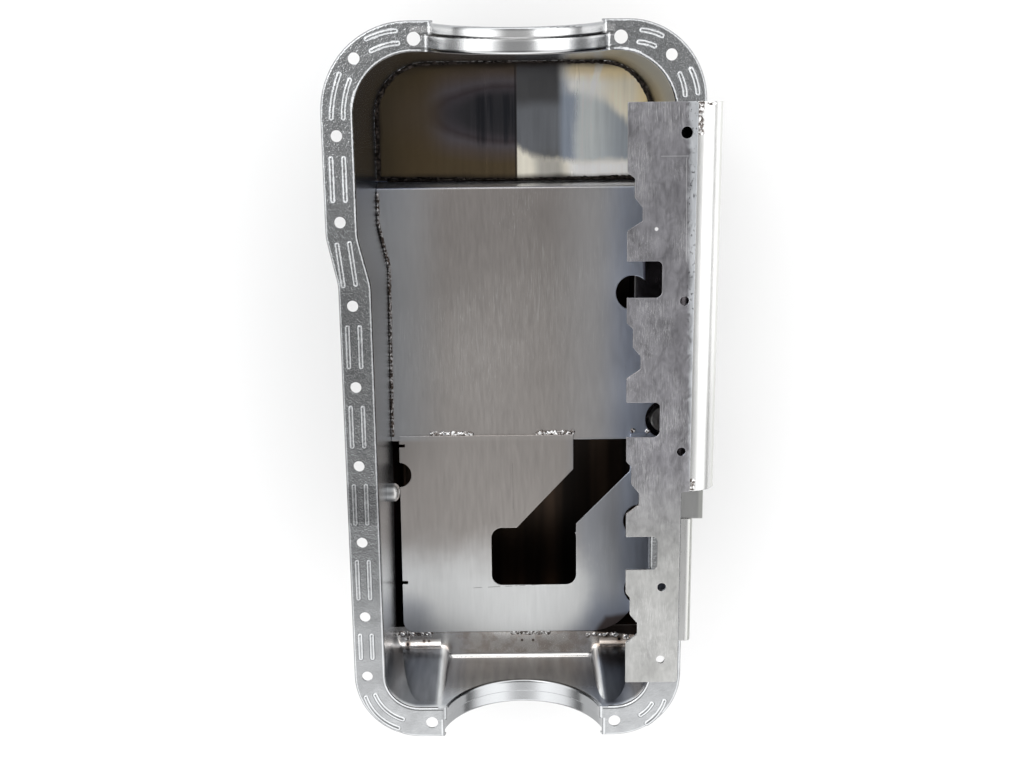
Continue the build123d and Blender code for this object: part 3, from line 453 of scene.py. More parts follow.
class Pressing:
    """The places and patterns that the tints of the plated pressing share, and its tints, among them painted
    highlights, reflections and shade.
    """

    def __init__(self):
        self.paint = paint = Surface("zinc plated sheet")
        self.x, self.y, self.z = x, y, z = paint.axes()
        self.speckle = paint.noise(900.0, 4.0)
        self.flake = paint.noise(420.0, 2.0, distortion=1.0)
        self.blotch = paint.noise(70.0, 5.0)
        self.streak = paint.noise(60.0, 4.0, (3.0, 3.0, 0.4))
        inside = z.step(*BELOW_RAIL)
        self.rail = 1.0 - inside
        self.walls = inside * y.step(*BOWL_FRONT) * y.step(*BOWL_REAR)
        self.front = y.step(*FRONT_WALLS) * self.walls
        rear = y.step(*REAR_PART)
        self.rear_walls = self.walls * rear
        self.side = self.walls * (1.0 - self.front) * (1.0 - rear)
        self.left = x.step(*LEFT_WALL)
        self.off_centre = abs(x - BAY_CENTRE)
        self.across = self.off_centre / BAY_HALF
        self.bay = self.rear_walls * self.across.step(1.10, 1.02)
        self.calm = y.step(*CALM_RAIL) * 0.85

    def rail_tone(self, zinc):
        """Grainy zinc at the front, darker half way along and smooth at the rear."""
        x, y, rail = self.x, self.y, self.rail
        grain = (self.speckle - 0.5) * (rail * 0.8 * (1.0 - self.calm) + 0.08)
        tone = 0.90 + grain + (self.blotch - 0.5) * 0.5 * rail
        middle = y.step(0.190, 0.060) * y.step(-0.215, -0.120) * rail
        tone = tone * (1.0 - middle * 0.36)
        patch = abs(y + 0.084).step(0.020, 0.012) * x.step(-0.110, -0.120) * rail
        tone = tone * (1.0 - patch * 0.36)
        tone = tone * (1.0 + rail * y.step(-0.236, -0.256) * 0.13)
        rear_channel = y.step(-0.2600, -0.2630) * self.off_centre.step(0.0680, 0.0640)
        tone = tone * (1.0 - rear_channel * self.off_centre.step(0.020, 0.050) * 0.25)
        return self.paint.shade(zinc, tone)

    def front_channel(self, colour):
        """Painted highlights on the bands of the front seal channel, strongest at the middle of the outer
        band and at a spot left of the middle of the inner band, with painted shade on its two small steps.
        """
        x, y = self.x, self.y
        seat = abs(x - CHANNEL_CENTRE).step(*CHANNEL_END)
        outer = seat * y.step(*CHANNEL_CREST) * y.step(0.2860, 0.2835)
        inner = seat * y.step(0.2655, 0.2675) * y.step(*reversed(CHANNEL_CREST))
        # painted reflection on the inner band: brightest at a spot left of the middle, fainter towards its
        # ends
        lit = 0.42 + abs(x + 0.042).step(0.018, 0.006) * 0.25 - abs(x).step(0.030, 0.060) * 0.30
        # painted highlights: both bands turn towards white, the outer one most at its middle
        colour = self.paint.coats(
            colour,
            (outer * (0.95 - abs(x) * 9.0).most(0.45), WHITE),
            (inner * lit, WHITE))
        # painted shade on the two small steps
        steps = 0.0
        for place, wide, narrow in CHANNEL_STEPS:
            steps = steps + abs(y - place).step(wide, narrow)
        return self.paint.shade(colour, 1.0 - seat * steps * 0.5)

    def side_walls(self, colour):
        """Blue-grey tinge of the side walls, paler towards the rear."""
        tinge = self.paint.mix(self.y.step(-0.060, -0.130), (0.185, 0.210, 0.235), (0.40, 0.415, 0.43))
        return self.paint.mix(self.side * 0.65, colour, tinge)

    def heated_walls_and_reflections(self, colour):
        """Painted dark reflection of the floor on the walls round the front floor, bluer on the inner face
        of the left wall, with straw and char at the right; the left wall darker towards the front, with a
        painted highlight strip on its rear inner face.
        """
        paint, x, y, z = self.paint, self.x, self.y, self.z
        front, side, left = self.front, self.side, self.left
        # painted reflection: the front walls dark, and bluer on the inner face of the left wall
        colour = paint.coats(
            colour,
            (front * 0.86, (0.070, 0.075, 0.082)),
            (front * left * x.step(*LEFT_INNER_FRONT) * 0.9, (0.125, 0.165, 0.245)))
        colour = paint.shade(colour, 1.0 - side * left * y.step(0.02, 0.06) * 0.28)
        # painted highlight: a pale strip on the rear inner face of the left wall
        lit = side * y.step(-0.075, -0.105) * x.step(*LEFT_INNER_REAR) * left
        deep = (z + paint.noise(20.0, 3.0) * 0.03).step(-0.02, -0.12)
        straw = front * deep * x.step(0.03, 0.09)
        charred = front * (z + (self.blotch - 0.5) * 0.02).step(-0.072, -0.090) * x.step(-0.02, 0.05)
        return paint.coats(
            colour,
            (lit * 0.55, (0.95, 0.95, 0.97)),
            (straw * 0.75, (0.40, 0.335, 0.19)),
            (charred * 0.72, (0.040, 0.033, 0.028)))

    def rear_bay(self, colour):
        """Brushed bay behind the ledge, darker below its rim, with painted shade in the pockets either side,
        painted highlights on the folds between them and a painted highlight along the rear edge of the
        ledge.
        """
        paint, y, z, across, bay = self.paint, self.y, self.z, self.across, self.bay
        # painted shade in the pockets either side of the bay; the bay darker below its rim and bluer towards
        # its sides
        colour = paint.coats(
            colour,
            (self.rear_walls * across.step(1.06, 1.14) * 0.95, (0.082, 0.086, 0.096)),
            (bay * z.step(-0.01, -0.04) * 0.92, (0.112, 0.102, 0.094)),
            (bay * across.step(0.62, 0.98) * 0.4, (0.120, 0.130, 0.155)))
        colour = paint.shade(colour, 1.0 + (self.streak - 0.5) * self.rear_walls * 0.9)
        # painted highlight on the folds between the bay and its pockets, brightest low down at their front
        flank_highlight = abs(across - 1.045 + (y + 0.24) * 0.5).step(0.045, 0.010)
        flank_highlight = flank_highlight * self.walls * y.step(-0.234, -0.239)
        flank_highlight = flank_highlight * (y.step(-0.256, -0.243) * z.step(-0.070, -0.088) * 0.75 + 0.22)
        # painted highlight along the rear edge of the ledge
        crease = self.walls * y.step(-0.2588, -0.2598) * z.step(-0.0928, -0.0943) * across.step(1.0, 0.94)
        return paint.coats(colour, (flank_highlight, (1.0, 1.0, 0.98)), (crease * 0.9, (1.0, 0.99, 0.98)))

    def ledge(self, colour):
        """Pale ledge in front of the bay, scorched at the right, sooty along its weld and pitted."""
        paint, x, y = self.paint, self.x, self.y
        ledge = self.walls * y.step(*LEDGE_FRONT) * self.z.step(*LEDGE_LEVEL) * y.step(*LEDGE_REAR)
        pale = paint.mix(paint.noise(90.0, 4.0).step(0.42, 0.62), (1.0, 0.99, 0.98), (0.80, 0.74, 0.70))
        seam = y + abs(x - 0.062) * 0.10 * x.step(0.061, 0.063) + (self.speckle - 0.5) * 0.0015
        sooty = seam.step(-0.2392, -0.2384) * (0.5 + x.step(0.04, 0.065) * 0.5)
        colour = paint.coats(
            colour,
            (ledge * 0.92, pale),
            (ledge * x.step(0.058, 0.075) * 0.6, (0.50, 0.37, 0.27)),
            (ledge * sooty, (0.040, 0.030, 0.026)))
        for pit_x, pit_y, radius in BURN_PITS:
            spot = distance(x - pit_x, y - pit_y) + (self.speckle - 0.5) * 0.0012
            colour = paint.coats(
                colour,
                (ledge * spot.step(radius * 2.2, radius) * 0.7, (0.22, 0.13, 0.08)),
                (ledge * spot.step(radius, radius * 0.7), (0.012, 0.010, 0.010)))
        return colour

    def notch_painted_shade(self, colour):
        """Painted shade: a dark blue-grey patch on the wall under the rear cap notch of the scraper."""
        patch = abs(self.x - 0.104).step(0.008, 0.006) * abs(self.y + 0.163).step(0.024, 0.021)
        return self.paint.mix(patch * 0.85, colour, (0.16, 0.18, 0.215))

    def finished(self, colour):
        """Grainy rail, smoother towards the rear, and smooth walls with a rougher slope in the bay."""
        slope = self.bay * self.z.step(-0.03, -0.05) * self.z.step(-0.094, -0.090)
        rough = 0.12 + self.speckle * 0.10 + self.walls * 0.08 + slope * 0.14
        height = (self.speckle * 0.5 + self.flake) * self.rail * (1.0 - self.calm)
        return self.paint.finish(colour, rough, height, depth=0.00024)


class OILPAN_OT_stamping(bpy.types.Operator):
    """Plated finish of the pressed rail and bowl, with painted highlights, reflections and shade"""
    bl_idname = "oilpan.stamping"
    bl_label = "Pressed rail and bowl"

    def execute(self, context):
        pressing = Pressing()
        colour = pressing.rail_tone(tuple(context.scene.oilpan_sheet.zinc))
        for tint in (pressing.front_channel, pressing.side_walls, pressing.heated_walls_and_reflections,
                     pressing.rear_bay, pressing.ledge, pressing.notch_painted_shade):
            colour = tint(colour)
        assign(pressing.finished(colour), "pan_stamping")
        return {"FINISHED"}


# ---- heated front floor, with painted reflections -----------------------------------
OVAL_CENTRE = (-0.006, 0.2225)      # x and y of the dark oval of the left half
OVAL_SIZE = (0.060, 0.0215)
OVAL_TINTS = [                      # from the middle of the oval outwards
    (0.0, (0.046, 0.047, 0.054)), (0.36, (0.058, 0.056, 0.062)), (0.48, (0.090, 0.080, 0.090)),
    (0.53, (0.080, 0.066, 0.072)), (0.64, (0.140, 0.124, 0.134)), (0.80, (0.135, 0.106, 0.090)),
    (1.0, (0.130, 0.096, 0.056))]
FLOOR_CREASE = -0.0012              # x of the crease between the halves


def burnt_half_dark_reflection(paint, x, y, wobble):
    """Brown heat-tinted left half with a dark oval beside the crease, its darkness partly a painted dark
    reflection.
    """
    oval = distance((x - OVAL_CENTRE[0]) / OVAL_SIZE[0], (y - OVAL_CENTRE[1]) / OVAL_SIZE[1])
    left = paint.ramp((oval + wobble * 0.25) * 0.5, OVAL_TINTS)
    streaks = paint.noise(240.0, 2.0, (1.0, 0.03, 1.0)).step(0.48, 0.62)
    streaks = streaks * x.step(-0.042, -0.030) * abs(y - 0.218).step(0.026, 0.016)
    return paint.coats(
        left,
        (x.step(-0.055, -0.085) * 0.8, (0.130, 0.094, 0.052)),
        (streaks * 0.6, (0.018, 0.020, 0.026)))


def painted_reflection_half(paint, x, y, wobble, brushed, edge):
    """Right half of painted reflections: grey, blue and white bands between a pale crown and a pale sole of
    painted glare, with straw tints in the crown and a painted glint; also returns how pale it is.
    """
    wave = x + wobble * 0.010
    rise = y + wobble * 0.010 + (brushed - 0.5) * 0.006
    right = paint.mix(rise.step(0.224, 0.238), (0.25, 0.262, 0.285), (0.125, 0.125, 0.130))
    bend = (wave - 0.052).most(0.0)
    # painted glare: the pale crown, and below it the pale sole
    crown = (rise - 0.2412 + bend * bend * 14.0).step(-0.0085, 0.0060) * wave.step(0.034, 0.052)
    sole = ((0.1938 - wave * 0.45).most(0.1818) - rise).step(-0.0055, 0.0035)
    glint = abs(x - 0.0640 - (y - 0.236) * 0.28) - (y - 0.228) * 0.07
    glint = glint.step(0.0022, 0.0) * y.step(0.226, 0.244)
    right = paint.coats(
        right,
        (rise.step(0.196, 0.184) * 0.9, (0.23, 0.235, 0.24)),
        (x.step(0.034, 0.043), (0.46, 0.52, 0.62)),
        (wave.step(0.046, 0.057), (0.95, 1.0, 1.0)),
        (wave.step(0.060, 0.094), (0.52, 0.57, 0.63)),
        (crown, (1.0, 0.985, 0.94)),
        (crown * wave.step(0.064, 0.084) * 0.45, (1.0, 0.86, 0.52)),
        (crown * edge.step(0.020, 0.006) * 0.75, (1.0, 0.78, 0.40)),
        (sole, (1.0, 0.94, 0.80)),
        (sole * wave.step(0.010, 0.022) * wave.step(0.046, 0.034), (0.52, 0.50, 0.45)),
        (sole * wave.step(0.040, 0.052), (1.0, 0.99, 0.98)),
        (glint * 0.55, WHITE))
    return right, rise, crown * 0.85 + sole * 0.6


class OILPAN_OT_front_floor(bpy.types.Operator):
    """Heat-tinted finish of the creased front floor, with painted reflections, bright on its right half and
    dark on its left
    """
    bl_idname = "oilpan.front_floor"
    bl_label = "Front floor"

    def execute(self, context):
        paint = Surface("heat tinted sheet with painted reflections")
        x, y, _ = paint.axes()
        low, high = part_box("front_floor_plate")
        wobble = paint.noise(26.0, 3.0) - 0.5
        edge = (x - low[0]).least(high[0] - x).least((y - low[1]).least(high[1] - y)) + wobble * 0.006
        brushed = paint.noise(60.0, 3.0, (6.0, 0.25, 1.0))
        smudge = paint.noise(34.0, 3.0, (1.0, 0.5, 1.0))
        left = burnt_half_dark_reflection(paint, x, y, wobble)
        right, rise, pale = painted_reflection_half(paint, x, y, wobble, brushed, edge)
        colour = paint.coats(
            paint.mix(x.step(-0.0006, 0.0006), left, right),
            (abs(x - FLOOR_CREASE).step(0.0010, 0.0004) * 0.6, (0.02, 0.02, 0.022)),
            (rise.step(0.254, 0.263) * 0.35, (0.030, 0.026, 0.026)),
            (edge.step(0.007, 0.001) * 0.9, (0.030, 0.024, 0.020)))
        colour = paint.shade(colour, 0.74 + brushed * 0.26 + smudge * 0.28)
        # less metallic where the painted glare lies, so that it shows pale
        paint.feed(paint.shader.inputs["Metallic"], 1.0 - pale * x.step(-0.001, 0.001))
        assign(paint.finish(colour, 0.20 + brushed * 0.10 + x.step(0.04, 0.09) * 0.2), "front_floor_plate")
        return {"FINISHED"}


# ---- windage trays --------------------------------------------------------------------
TRAY_JOINT = (-0.058, -0.062)       # y where the rear tray begins
TRAY_LIP = (0.1585, 0.1610)         # y of the bent front edge, which carries a painted highlight
BURNT_EDGES = (                     # x and y of a point and the slopes of each edge of the burnt corner
    (0.0659, -0.2389, 0.78, 0.625),
    (0.0769, -0.2252, 0.19, 0.98),
)


class OILPAN_OT_trays(bpy.types.Operator):
    """Rolled satin finish of the two windage trays"""
    bl_idname = "oilpan.trays"
    bl_label = "Windage trays"

    def execute(self, context):
        paint = Surface("tray sheet")
        x, y, _ = paint.axes()
        grain = paint.noise(420.0, 2.0, (1.0, 0.08, 1.0))
        cloud = paint.noise(9.0, 3.0)
        tint = paint.noise(30.0, 3.0) - 0.5
        rear = y.step(*TRAY_JOINT)
        left = x.step(-0.060, -0.112) * (1.0 - rear)
        right = x.step(0.020, 0.100) * (1.0 - rear)
        bright = (y + tint * 0.03).step(-0.135, -0.195)
        dull = rear * (x + tint * 0.02 - bright * 0.012).step(0.038, 0.062)
        smoke = distance(x + 0.108, y + 0.232) + tint * 0.02
        first, second = [(x - at_x) * rise - (y - at_y) * run for at_x, at_y, rise, run in BURNT_EDGES]
        burnt = first.least(second) + tint * 0.006
        tray = tuple(context.scene.oilpan_sheet.tray)
        colour = paint.coats(
            paint.mix(y.step(0.150, -0.060), (0.292, 0.270, 0.258), tray),
            (rear * 0.7, (0.415, 0.385, 0.365)),
            (bright, (0.85, 0.86, 0.86)),
            (left * 0.9, (0.48, 0.485, 0.50)),
            # painted light: the right of the front tray lighter and bluer, lifting the shade the scraper
            # casts there
            (right, (0.60, 0.60, 0.615)),
            (right * x.step(0.066, 0.098) * 0.85, (0.58, 0.64, 0.78)),
            (dull * 0.75, (0.40, 0.425, 0.475)),
            # painted light: the same lift at the right of the rear tray, beside the scraper
            (rear * x.step(0.082, 0.098) * 0.9, (0.52, 0.57, 0.68)),
            (rear * smoke.step(0.040, 0.016) * 0.7, (0.36, 0.38, 0.43)),
            # painted highlight on the bent front edge
            (y.step(*TRAY_LIP) * 0.9, (0.95, 0.96, 1.0)),
            (burnt.step(-0.030, -0.003) * rear * 0.7, (0.27, 0.30, 0.38)),
            (burnt.step(-0.003, 0.003) * rear * 0.93, (0.085, 0.062, 0.055)))
        colour = paint.shade(colour, 0.86 + grain * 0.10 + cloud * 0.20)
        marks = paint.scratches(22.0, 0.6).most(paint.scratches(30.0, -0.4, 0.02, 40.0, (3.0, 1.0, 0.0)))
        scribed = abs(x + 0.0066).step(0.00025, 0.0) * abs(y + 0.102).step(0.022, 0.020)
        rubbed = abs(y + 0.1945 - (x + 0.006) * 0.04).step(0.0005, 0.0) * abs(x + 0.012).step(0.034, 0.028)
        rubbed = rubbed * paint.noise(140.0, 2.0).step(0.40, 0.52)
        colour = paint.coats(
            colour,
            (marks * 0.35, (0.75, 0.75, 0.74)),
            (scribed.most(rubbed) * 0.7, (0.10, 0.09, 0.09)))
        material = paint.finish(colour, 0.27 + grain * 0.10, grain, depth=0.00002, strength=0.5,
                                eased=0.0008)
        assign(material, "front_windage_tray", "rear_windage_tray")
        return {"FINISHED"}


# ---- crank scraper ----------------------------------------------------------------------
SCRAPER_TOP = (0.0022, 0.0024)      # z
SCRAPER_CUT = (0.0018, 0.0023)      # z between the cut edges and the top
SCRAPER_WORN = (-0.040, -0.150)     # y over which the plate turns paler
SCRAPER_LEAN = 0.023                # how far the kick-out's edge leans across the plate for its length
LEAN_FROM = 0.150                   # y from which that lean is counted
SCRIBED_LINE = 0.1272               # x, at LEAN_FROM, of the line scribed along the kick-out
SPECK_LINE = 0.1315                 # x, at LEAN_FROM, of the dark specks beside it
SPATTER = (0.1047, 0.1346)          # x and y of the one bright drop of spatter
SCRAPER_MARKS = (                   # scale, turn and shift of the finer families of scratches
    (55.0, 0.9, (2.0, 0.0, 0.0)),
    (48.0, -0.7, (0.0, 5.0, 0.0)),
    (70.0, 1.4, (1.0, 7.0, 0.0)),
)


class OILPAN_OT_scraper(bpy.types.Operator):
    """Cut plate finish of the crank scraper"""
    bl_idname = "oilpan.scraper"
    bl_label = "Crank scraper"

    def execute(self, context):
        paint = Surface("scraper plate")
        x, y, z = paint.axes()
        top = z.step(*SCRAPER_TOP)
        worn = y.step(*SCRAPER_WORN)
        grain = paint.noise(600.0, 3.0, (1.0, 0.25, 1.0))
        cloud = paint.noise(22.0, 5.0, (1.6, 1.0, 1.0))
        mottle = paint.noise(150.0, 6.0, (1.0, 0.6, 1.0), distortion=1.2)
        smear = paint.noise(90.0, 5.0, (1.0, 0.35, 1.0), 0.5, (4.0, 1.0, 0.0))
        rubbed = 1.0 - worn * 0.55
        plate = tuple(context.scene.oilpan_sheet.scraper)
        colour = paint.shade(paint.mix(worn * 0.85, plate, (0.47, 0.47, 0.455)),
                             0.95 + (grain - 0.5) * 0.25 + (cloud - 0.5) * 0.4
                             + ((mottle - 0.5) * 1.0 + (smear - 0.5) * 0.9) * rubbed)
        leaning = x + (y - LEAN_FROM) * SCRAPER_LEAN
        border = (leaning - SCRIBED_LINE + (mottle - 0.5) * 0.006).step(0.0, 0.005) * y.step(-0.075, -0.055)
        specks = paint.noise(620.0, 4.0, (1.0, 0.5, 1.0), shift=(2.0, 3.0, 0.0)).step(0.60, 0.66)
        specks = specks * abs(leaning - SPECK_LINE).step(0.006, 0.003) * y.step(0.02, 0.08)
        spatter = distance(x - SPATTER[0], y - SPATTER[1]).step(0.0018, 0.0010)
        marks = paint.scratches(40.0, 0.2)
        for scale, turn, shift in SCRAPER_MARKS:
            marks = marks.most(paint.scratches(scale, turn, 0.022, 45.0, shift))
        along = abs(leaning - SCRIBED_LINE).step(0.00045, 0.0) * abs(y - 0.1485).step(0.040, 0.038)
        across = abs(y - 0.189).step(0.0004, 0.0) * abs(x - 0.1175).step(0.0108, 0.0100)
        colour = paint.coats(
            colour,
            (border * 0.7, (0.72, 0.75, 0.78)),
            (specks * top * 0.8, (0.06, 0.06, 0.065)),
            (spatter * top, WHITE),
            (marks * 0.6 * top, (0.78, 0.78, 0.78)),
            (along.most(across) * 0.40, (0.85, 0.86, 0.87)),
            ((1.0 - z.step(*SCRAPER_CUT)) * 0.6, (0.75, 0.75, 0.74)))
        height = grain + mottle * 0.8 - marks * 0.6
        material = paint.finish(colour, 0.30 + grain * 0.14, height, depth=0.00003, strength=0.6,
                                eased=0.0007)
        assign(material, "crank_scraper")
        return {"FINISHED"}


# ---- kick-out and the boxes behind it ------------------------------------------------------
OUTER_SKIN = 0.0006                 # depth in the sheet where its inside colour starts
INNER_SKIN = 0.0011                 # depth where that colour is full
END_SKIN = (0.0003, 0.0008)         # the same for the flat ends
ROLLED_SHEETS = (                   # finish, pieces, upper and lower bend radius, and how dull it is
    ("kick-out sheet", ("kickout_shell", "kickout_front_cap", "kickout_rear_cap", "kickout_seam_strip"),
     0.020, 0.012, 0.0),
    ("pouch sheet", ("side_pouch",), 0.005, 0.005, 0.30),
    ("step box sheet", ("step_box",), 0.003, 0.003, 0.55),
)


def inside_of_roll(x, y, z, pieces, upper, lower):
    """Mask of the faces inside a rolled sheet, by their distance from the axes of its two bends."""
    low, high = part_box(pieces[0])
    rear_face = min(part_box(piece)[0][1] for piece in pieces)
    front_face = max(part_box(piece)[1][1] for piece in pieces)
    inner = (y - rear_face).step(*END_SKIN) * (front_face - y).step(*END_SKIN)
    for radius, height in ((upper, z - high[2] + upper), (lower, low[2] + lower - z)):
        beside, height = (x - high[0] + radius).most(0.0), height.most(0.0)
        squared = beside * beside + height * height
        inner = inner * squared.step((radius - OUTER_SKIN) ** 2, (radius - INNER_SKIN) ** 2)
    return inner


def rolled_sheet(name, pieces, upper, lower, dull, sheet):
    """Bright sheet with painted shade inside and at the rear of its top, whose outer roll is pale and half
    matt, with painted shade on its outermost side.
    """
    paint = Surface(name)
    x, y, z = paint.axes()
    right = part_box(pieces[0])[1][0]
    grain = paint.noise(500.0, 2.0, (1.0, 0.12, 1.0))
    cloud = paint.noise(14.0, 4.0)
    colour = tuple(channel * (1.0 - dull) for channel in sheet)
    colour = paint.mix(z.step(-0.02, -0.10) * 0.4, colour, (0.50, 0.50, 0.50))
    colour = paint.shade(colour, 0.86 + grain * 0.10 + cloud * 0.18)
    colour = paint.mix(paint.scratches(36.0, 0.5) * 0.4, colour, (0.9, 0.9, 0.9))
    # painted shade: the top darker towards the rear
    dimmed = y.step(0.080, -0.040) * z.step(-0.030, -0.010)
    colour = paint.shade(colour, 1.0 - dimmed * 0.30)
    inner = inside_of_roll(x, y, z, pieces, upper, lower)
    # painted shade: the inside faces dark and mottled
    soot_and_shade = paint.mix(paint.noise(45.0, 4.0).step(0.42, 0.62), (0.040, 0.037, 0.040), (0.11, 0.10, 0.108))
    rolled = x.step(right - 0.010, right - 0.002) * z.step(-0.022, -0.012) * (1.0 - inner)
    # painted shade: a grey line on the outermost side of the roll
    outmost_shade = x.step(right - 0.0045, right - 0.0025) * rolled * (1.0 - dull)
    colour = paint.coats(colour, (inner, soot_and_shade), (outmost_shade * 0.7, (0.52, 0.53, 0.49)))
    if not dull:
        paint.feed(paint.shader.inputs["Metallic"], 1.0 - rolled * 0.75)
    return paint.finish(colour, 0.20 + grain * 0.10 + dull * 0.1, grain, depth=0.00002, strength=0.4,
                        eased=0.0010)


class OILPAN_OT_kickout(bpy.types.Operator):
    """Bright rolled finish of the kick-out and the boxes behind it"""
    bl_idname = "oilpan.kickout"
    bl_label = "Kick-out"

    def execute(self, context):
        sheet = tuple(context.scene.oilpan_sheet.kickout)
        for name, pieces, upper, lower, dull in ROLLED_SHEETS:
            assign(rolled_sheet(name, pieces, upper, lower, dull, sheet), *pieces)
        return {"FINISHED"}


# ---- sump and fittings -----------------------------------------------------------------------
SUMP_SKIN = 0.0010                  # depth in the sheet where its inside colour starts
SUMP_BLEND = (0.0, 0.0002)


class OILPAN_OT_sump(bpy.types.Operator):
    """Rolled finish of the sump box, with painted shade making its inside dark brown"""
    bl_idname = "oilpan.sump"
    bl_label = "Sump box"

    def execute(self, context):
        low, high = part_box("sump_side_and_floor")
        paint = Surface("sump sheet")
        x, y, z = paint.axes()
        grain = paint.noise(380.0, 2.0, (1.0, 0.1, 1.0))
        cloud = paint.noise(11.0, 4.0)
        bands = paint.noise(40.0, 2.0, (1.0, 0.05, 0.05))
        inner = (x - low[0] - SUMP_SKIN).step(*SUMP_BLEND)
        for depth in (high[0] - x - SUMP_SKIN, y - low[1] + SUMP_SKIN, high[1] - y + SUMP_SKIN,
                      z - low[2] - SUMP_SKIN):
            inner = inner * depth.step(*SUMP_BLEND)
        outside = paint.shade((0.50, 0.49, 0.48), 0.78 + grain * 0.14 + cloud * 0.28)
        # painted shade: the inner faces dark brown
        inside = paint.mix(bands.step(0.40, 0.66), (0.022, 0.018, 0.016), (0.085, 0.058, 0.042))
        colour = paint.mix(inner, outside, inside)
        assign(paint.finish(colour, 0.30 + grain * 0.1, grain, depth=0.00002, strength=0.5),
               "sump_side_and_floor", "sump_front_wall", "sump_rear_wall", "sump_right_wall")
        return {"FINISHED"}


class OILPAN_OT_fittings(bpy.types.Operator):
    """Turned finish of the bungs, plugs, washers and the dipstick boss"""
    bl_idname = "oilpan.fittings"
    bl_label = "Bungs and plugs"

    def execute(self, context):
        paint = Surface("turned steel")
        rings = paint.noise(900.0, 2.0)
        cloud = paint.noise(120.0, 3.0)
        in_the_bowl = paint.axes()[0].step(-0.105, -0.112)
        tone = paint.mix(in_the_bowl, (0.52, 0.51, 0.50), (0.27, 0.275, 0.28))
        material = paint.finish(paint.shade(tone, 0.8 + cloud * 0.35), 0.36 + rings * 0.12,
                                rings, depth=0.00002, strength=0.4, eased=0.0012)
        assign(material, "dipstick_boss", "side_bung", "side_bung_plug", "drain_bung", "drain_plug")
        soft = Surface("washer alloy")
        cloud = soft.noise(200.0, 3.0)
        assign(soft.finish(soft.shade((0.72, 0.72, 0.73), 0.8 + cloud * 0.3), 0.35 + cloud * 0.1),
               "side_bung_washer", "drain_washer")
        return {"FINISHED"}


# ---- weld beads -----------------------------------------------------------------
BEAD_WANDER = 0.0035                # size of the waves in the skin of a burnt bead
BEAD_MIDDLE = 0.66                  # over 0.5 the skin sinks more than it swells
TACK_WANDER = 0.0016
MELT = 0.00001                      # points of a bead that are nearer than this are one
DROP_SEGMENTS, DROP_RINGS = 16, 10
CROWN_BAND = 0.04                   # top share of a puddle that its dimple takes in
DIMPLE = 0.18                       # how far that dimple sinks, as a share of the puddle's height
SWING = 0.10                        # how far a puddle strays to the side, as a share of its width
SWELL = 0.16                        # how much one puddle outgrows the next
LAP = 0.95                          # length of a puddle along its run, against its width
JOINT_Z = -0.1087                   # top of the sheet where the trays meet
LEDGE_Z = -0.0968                   # top of the rear ledge
TRAY_TACK_HEIGHT = 0.0013
KICKOUT_TACK_HEIGHT = 0.0012


def weld_finish(name, colour, dark, roughness):
    """Rippled weld metal with dark spots."""
    paint = Surface(name)
    soot_and_shade = paint.noise(420.0, 4.0)
    tone = paint.mix(soot_and_shade.step(0.44, 0.60), dark, colour)
    return paint.finish(tone, roughness + soot_and_shade * 0.25, soot_and_shade, depth=0.0002, strength=0.6)


def fuse(obj, skin, ragged, size, middle=0.5):
    """Turns overlapping lumps into one closed skin that wanders a little, and smooths it."""
    apply_modifier(obj, "REMESH", {"mode": "VOXEL", "voxel_size": skin})
    wander = bpy.data.textures.new("wander", "CLOUDS")
    wander.noise_scale = size
    apply_modifier(obj, "DISPLACE", {"texture": wander, "strength": ragged, "mid_level": middle,
                                     "texture_coords": "LOCAL"})
    only(obj)
    bpy.ops.object.shade_smooth()
    return obj


def ragged_copy(name, skin, ragged):
    """Copy of a CAD bead with a wandering skin."""
    source = NODES[name]
    copy = source.copy()
    copy.data = source.data.copy()
    bpy.context.collection.objects.link(copy)
    only(copy)
    bpy.ops.object.mode_set(mode="EDIT")
    bpy.ops.mesh.select_all(action="SELECT")
    bpy.ops.mesh.remove_doubles(threshold=MELT)
    bpy.ops.object.mode_set(mode="OBJECT")
    return fuse(copy, skin, ragged, BEAD_WANDER, BEAD_MIDDLE)


def drop_of_weld(place, size):
    """One frozen puddle: a squashed ball with a dimple in its crown."""
    clear_selection()
    bpy.ops.mesh.primitive_uv_sphere_add(segments=DROP_SEGMENTS, ring_count=DROP_RINGS, radius=0.5,
                                         location=place)
    drop = bpy.context.object
    drop.scale = size
    apply_place(drop)
    bpy.ops.object.mode_set(mode="EDIT")
    bpy.ops.mesh.select_all(action="DESELECT")
    bpy.ops.object.mode_set(mode="OBJECT")
    crown = max(vertex.co.z for vertex in drop.data.vertices)
    for vertex in drop.data.vertices:
        vertex.select = vertex.co.z > crown - size[2] * CROWN_BAND
    bpy.ops.object.mode_set(mode="EDIT")
    bpy.ops.transform.translate(value=(0, 0, -size[2] * DIMPLE))
    bpy.ops.object.mode_set(mode="OBJECT")
    return drop


def puddle_run(start, end, width, height, pitch):
    """Row of frozen puddles along a line, each a little off its place."""
    start, end = Vector(start), Vector(end)
    count = max(1, round((end - start).length / pitch) + 1)
    side = (end - start).normalized().cross(Vector((0, 0, 1))) if count > 1 else Vector((0, 1, 0))
    drops = []
    for step in range(count):
        share = step / (count - 1) if count > 1 else 0.5
        swing = math.sin(4.1 * step + 90.0 * start.x)
        swell = 1.0 + SWELL * math.sin(2.7 * step + 60.0 * start.y)
        place = start.lerp(end, share) + side * swing * width * SWING
        drops.append(drop_of_weld(place, (width * swell, width * (2.0 - swell) * LAP, height * 2.0 * swell)))
    return drops


def joined(drops, name):
    """One object made of all the puddles."""
    clear_selection()
    for drop in drops:
        drop.select_set(True)
    bpy.context.view_layer.objects.active = drops[0]
    bpy.ops.object.join()
    made = bpy.context.object
    made.name = name
    return made


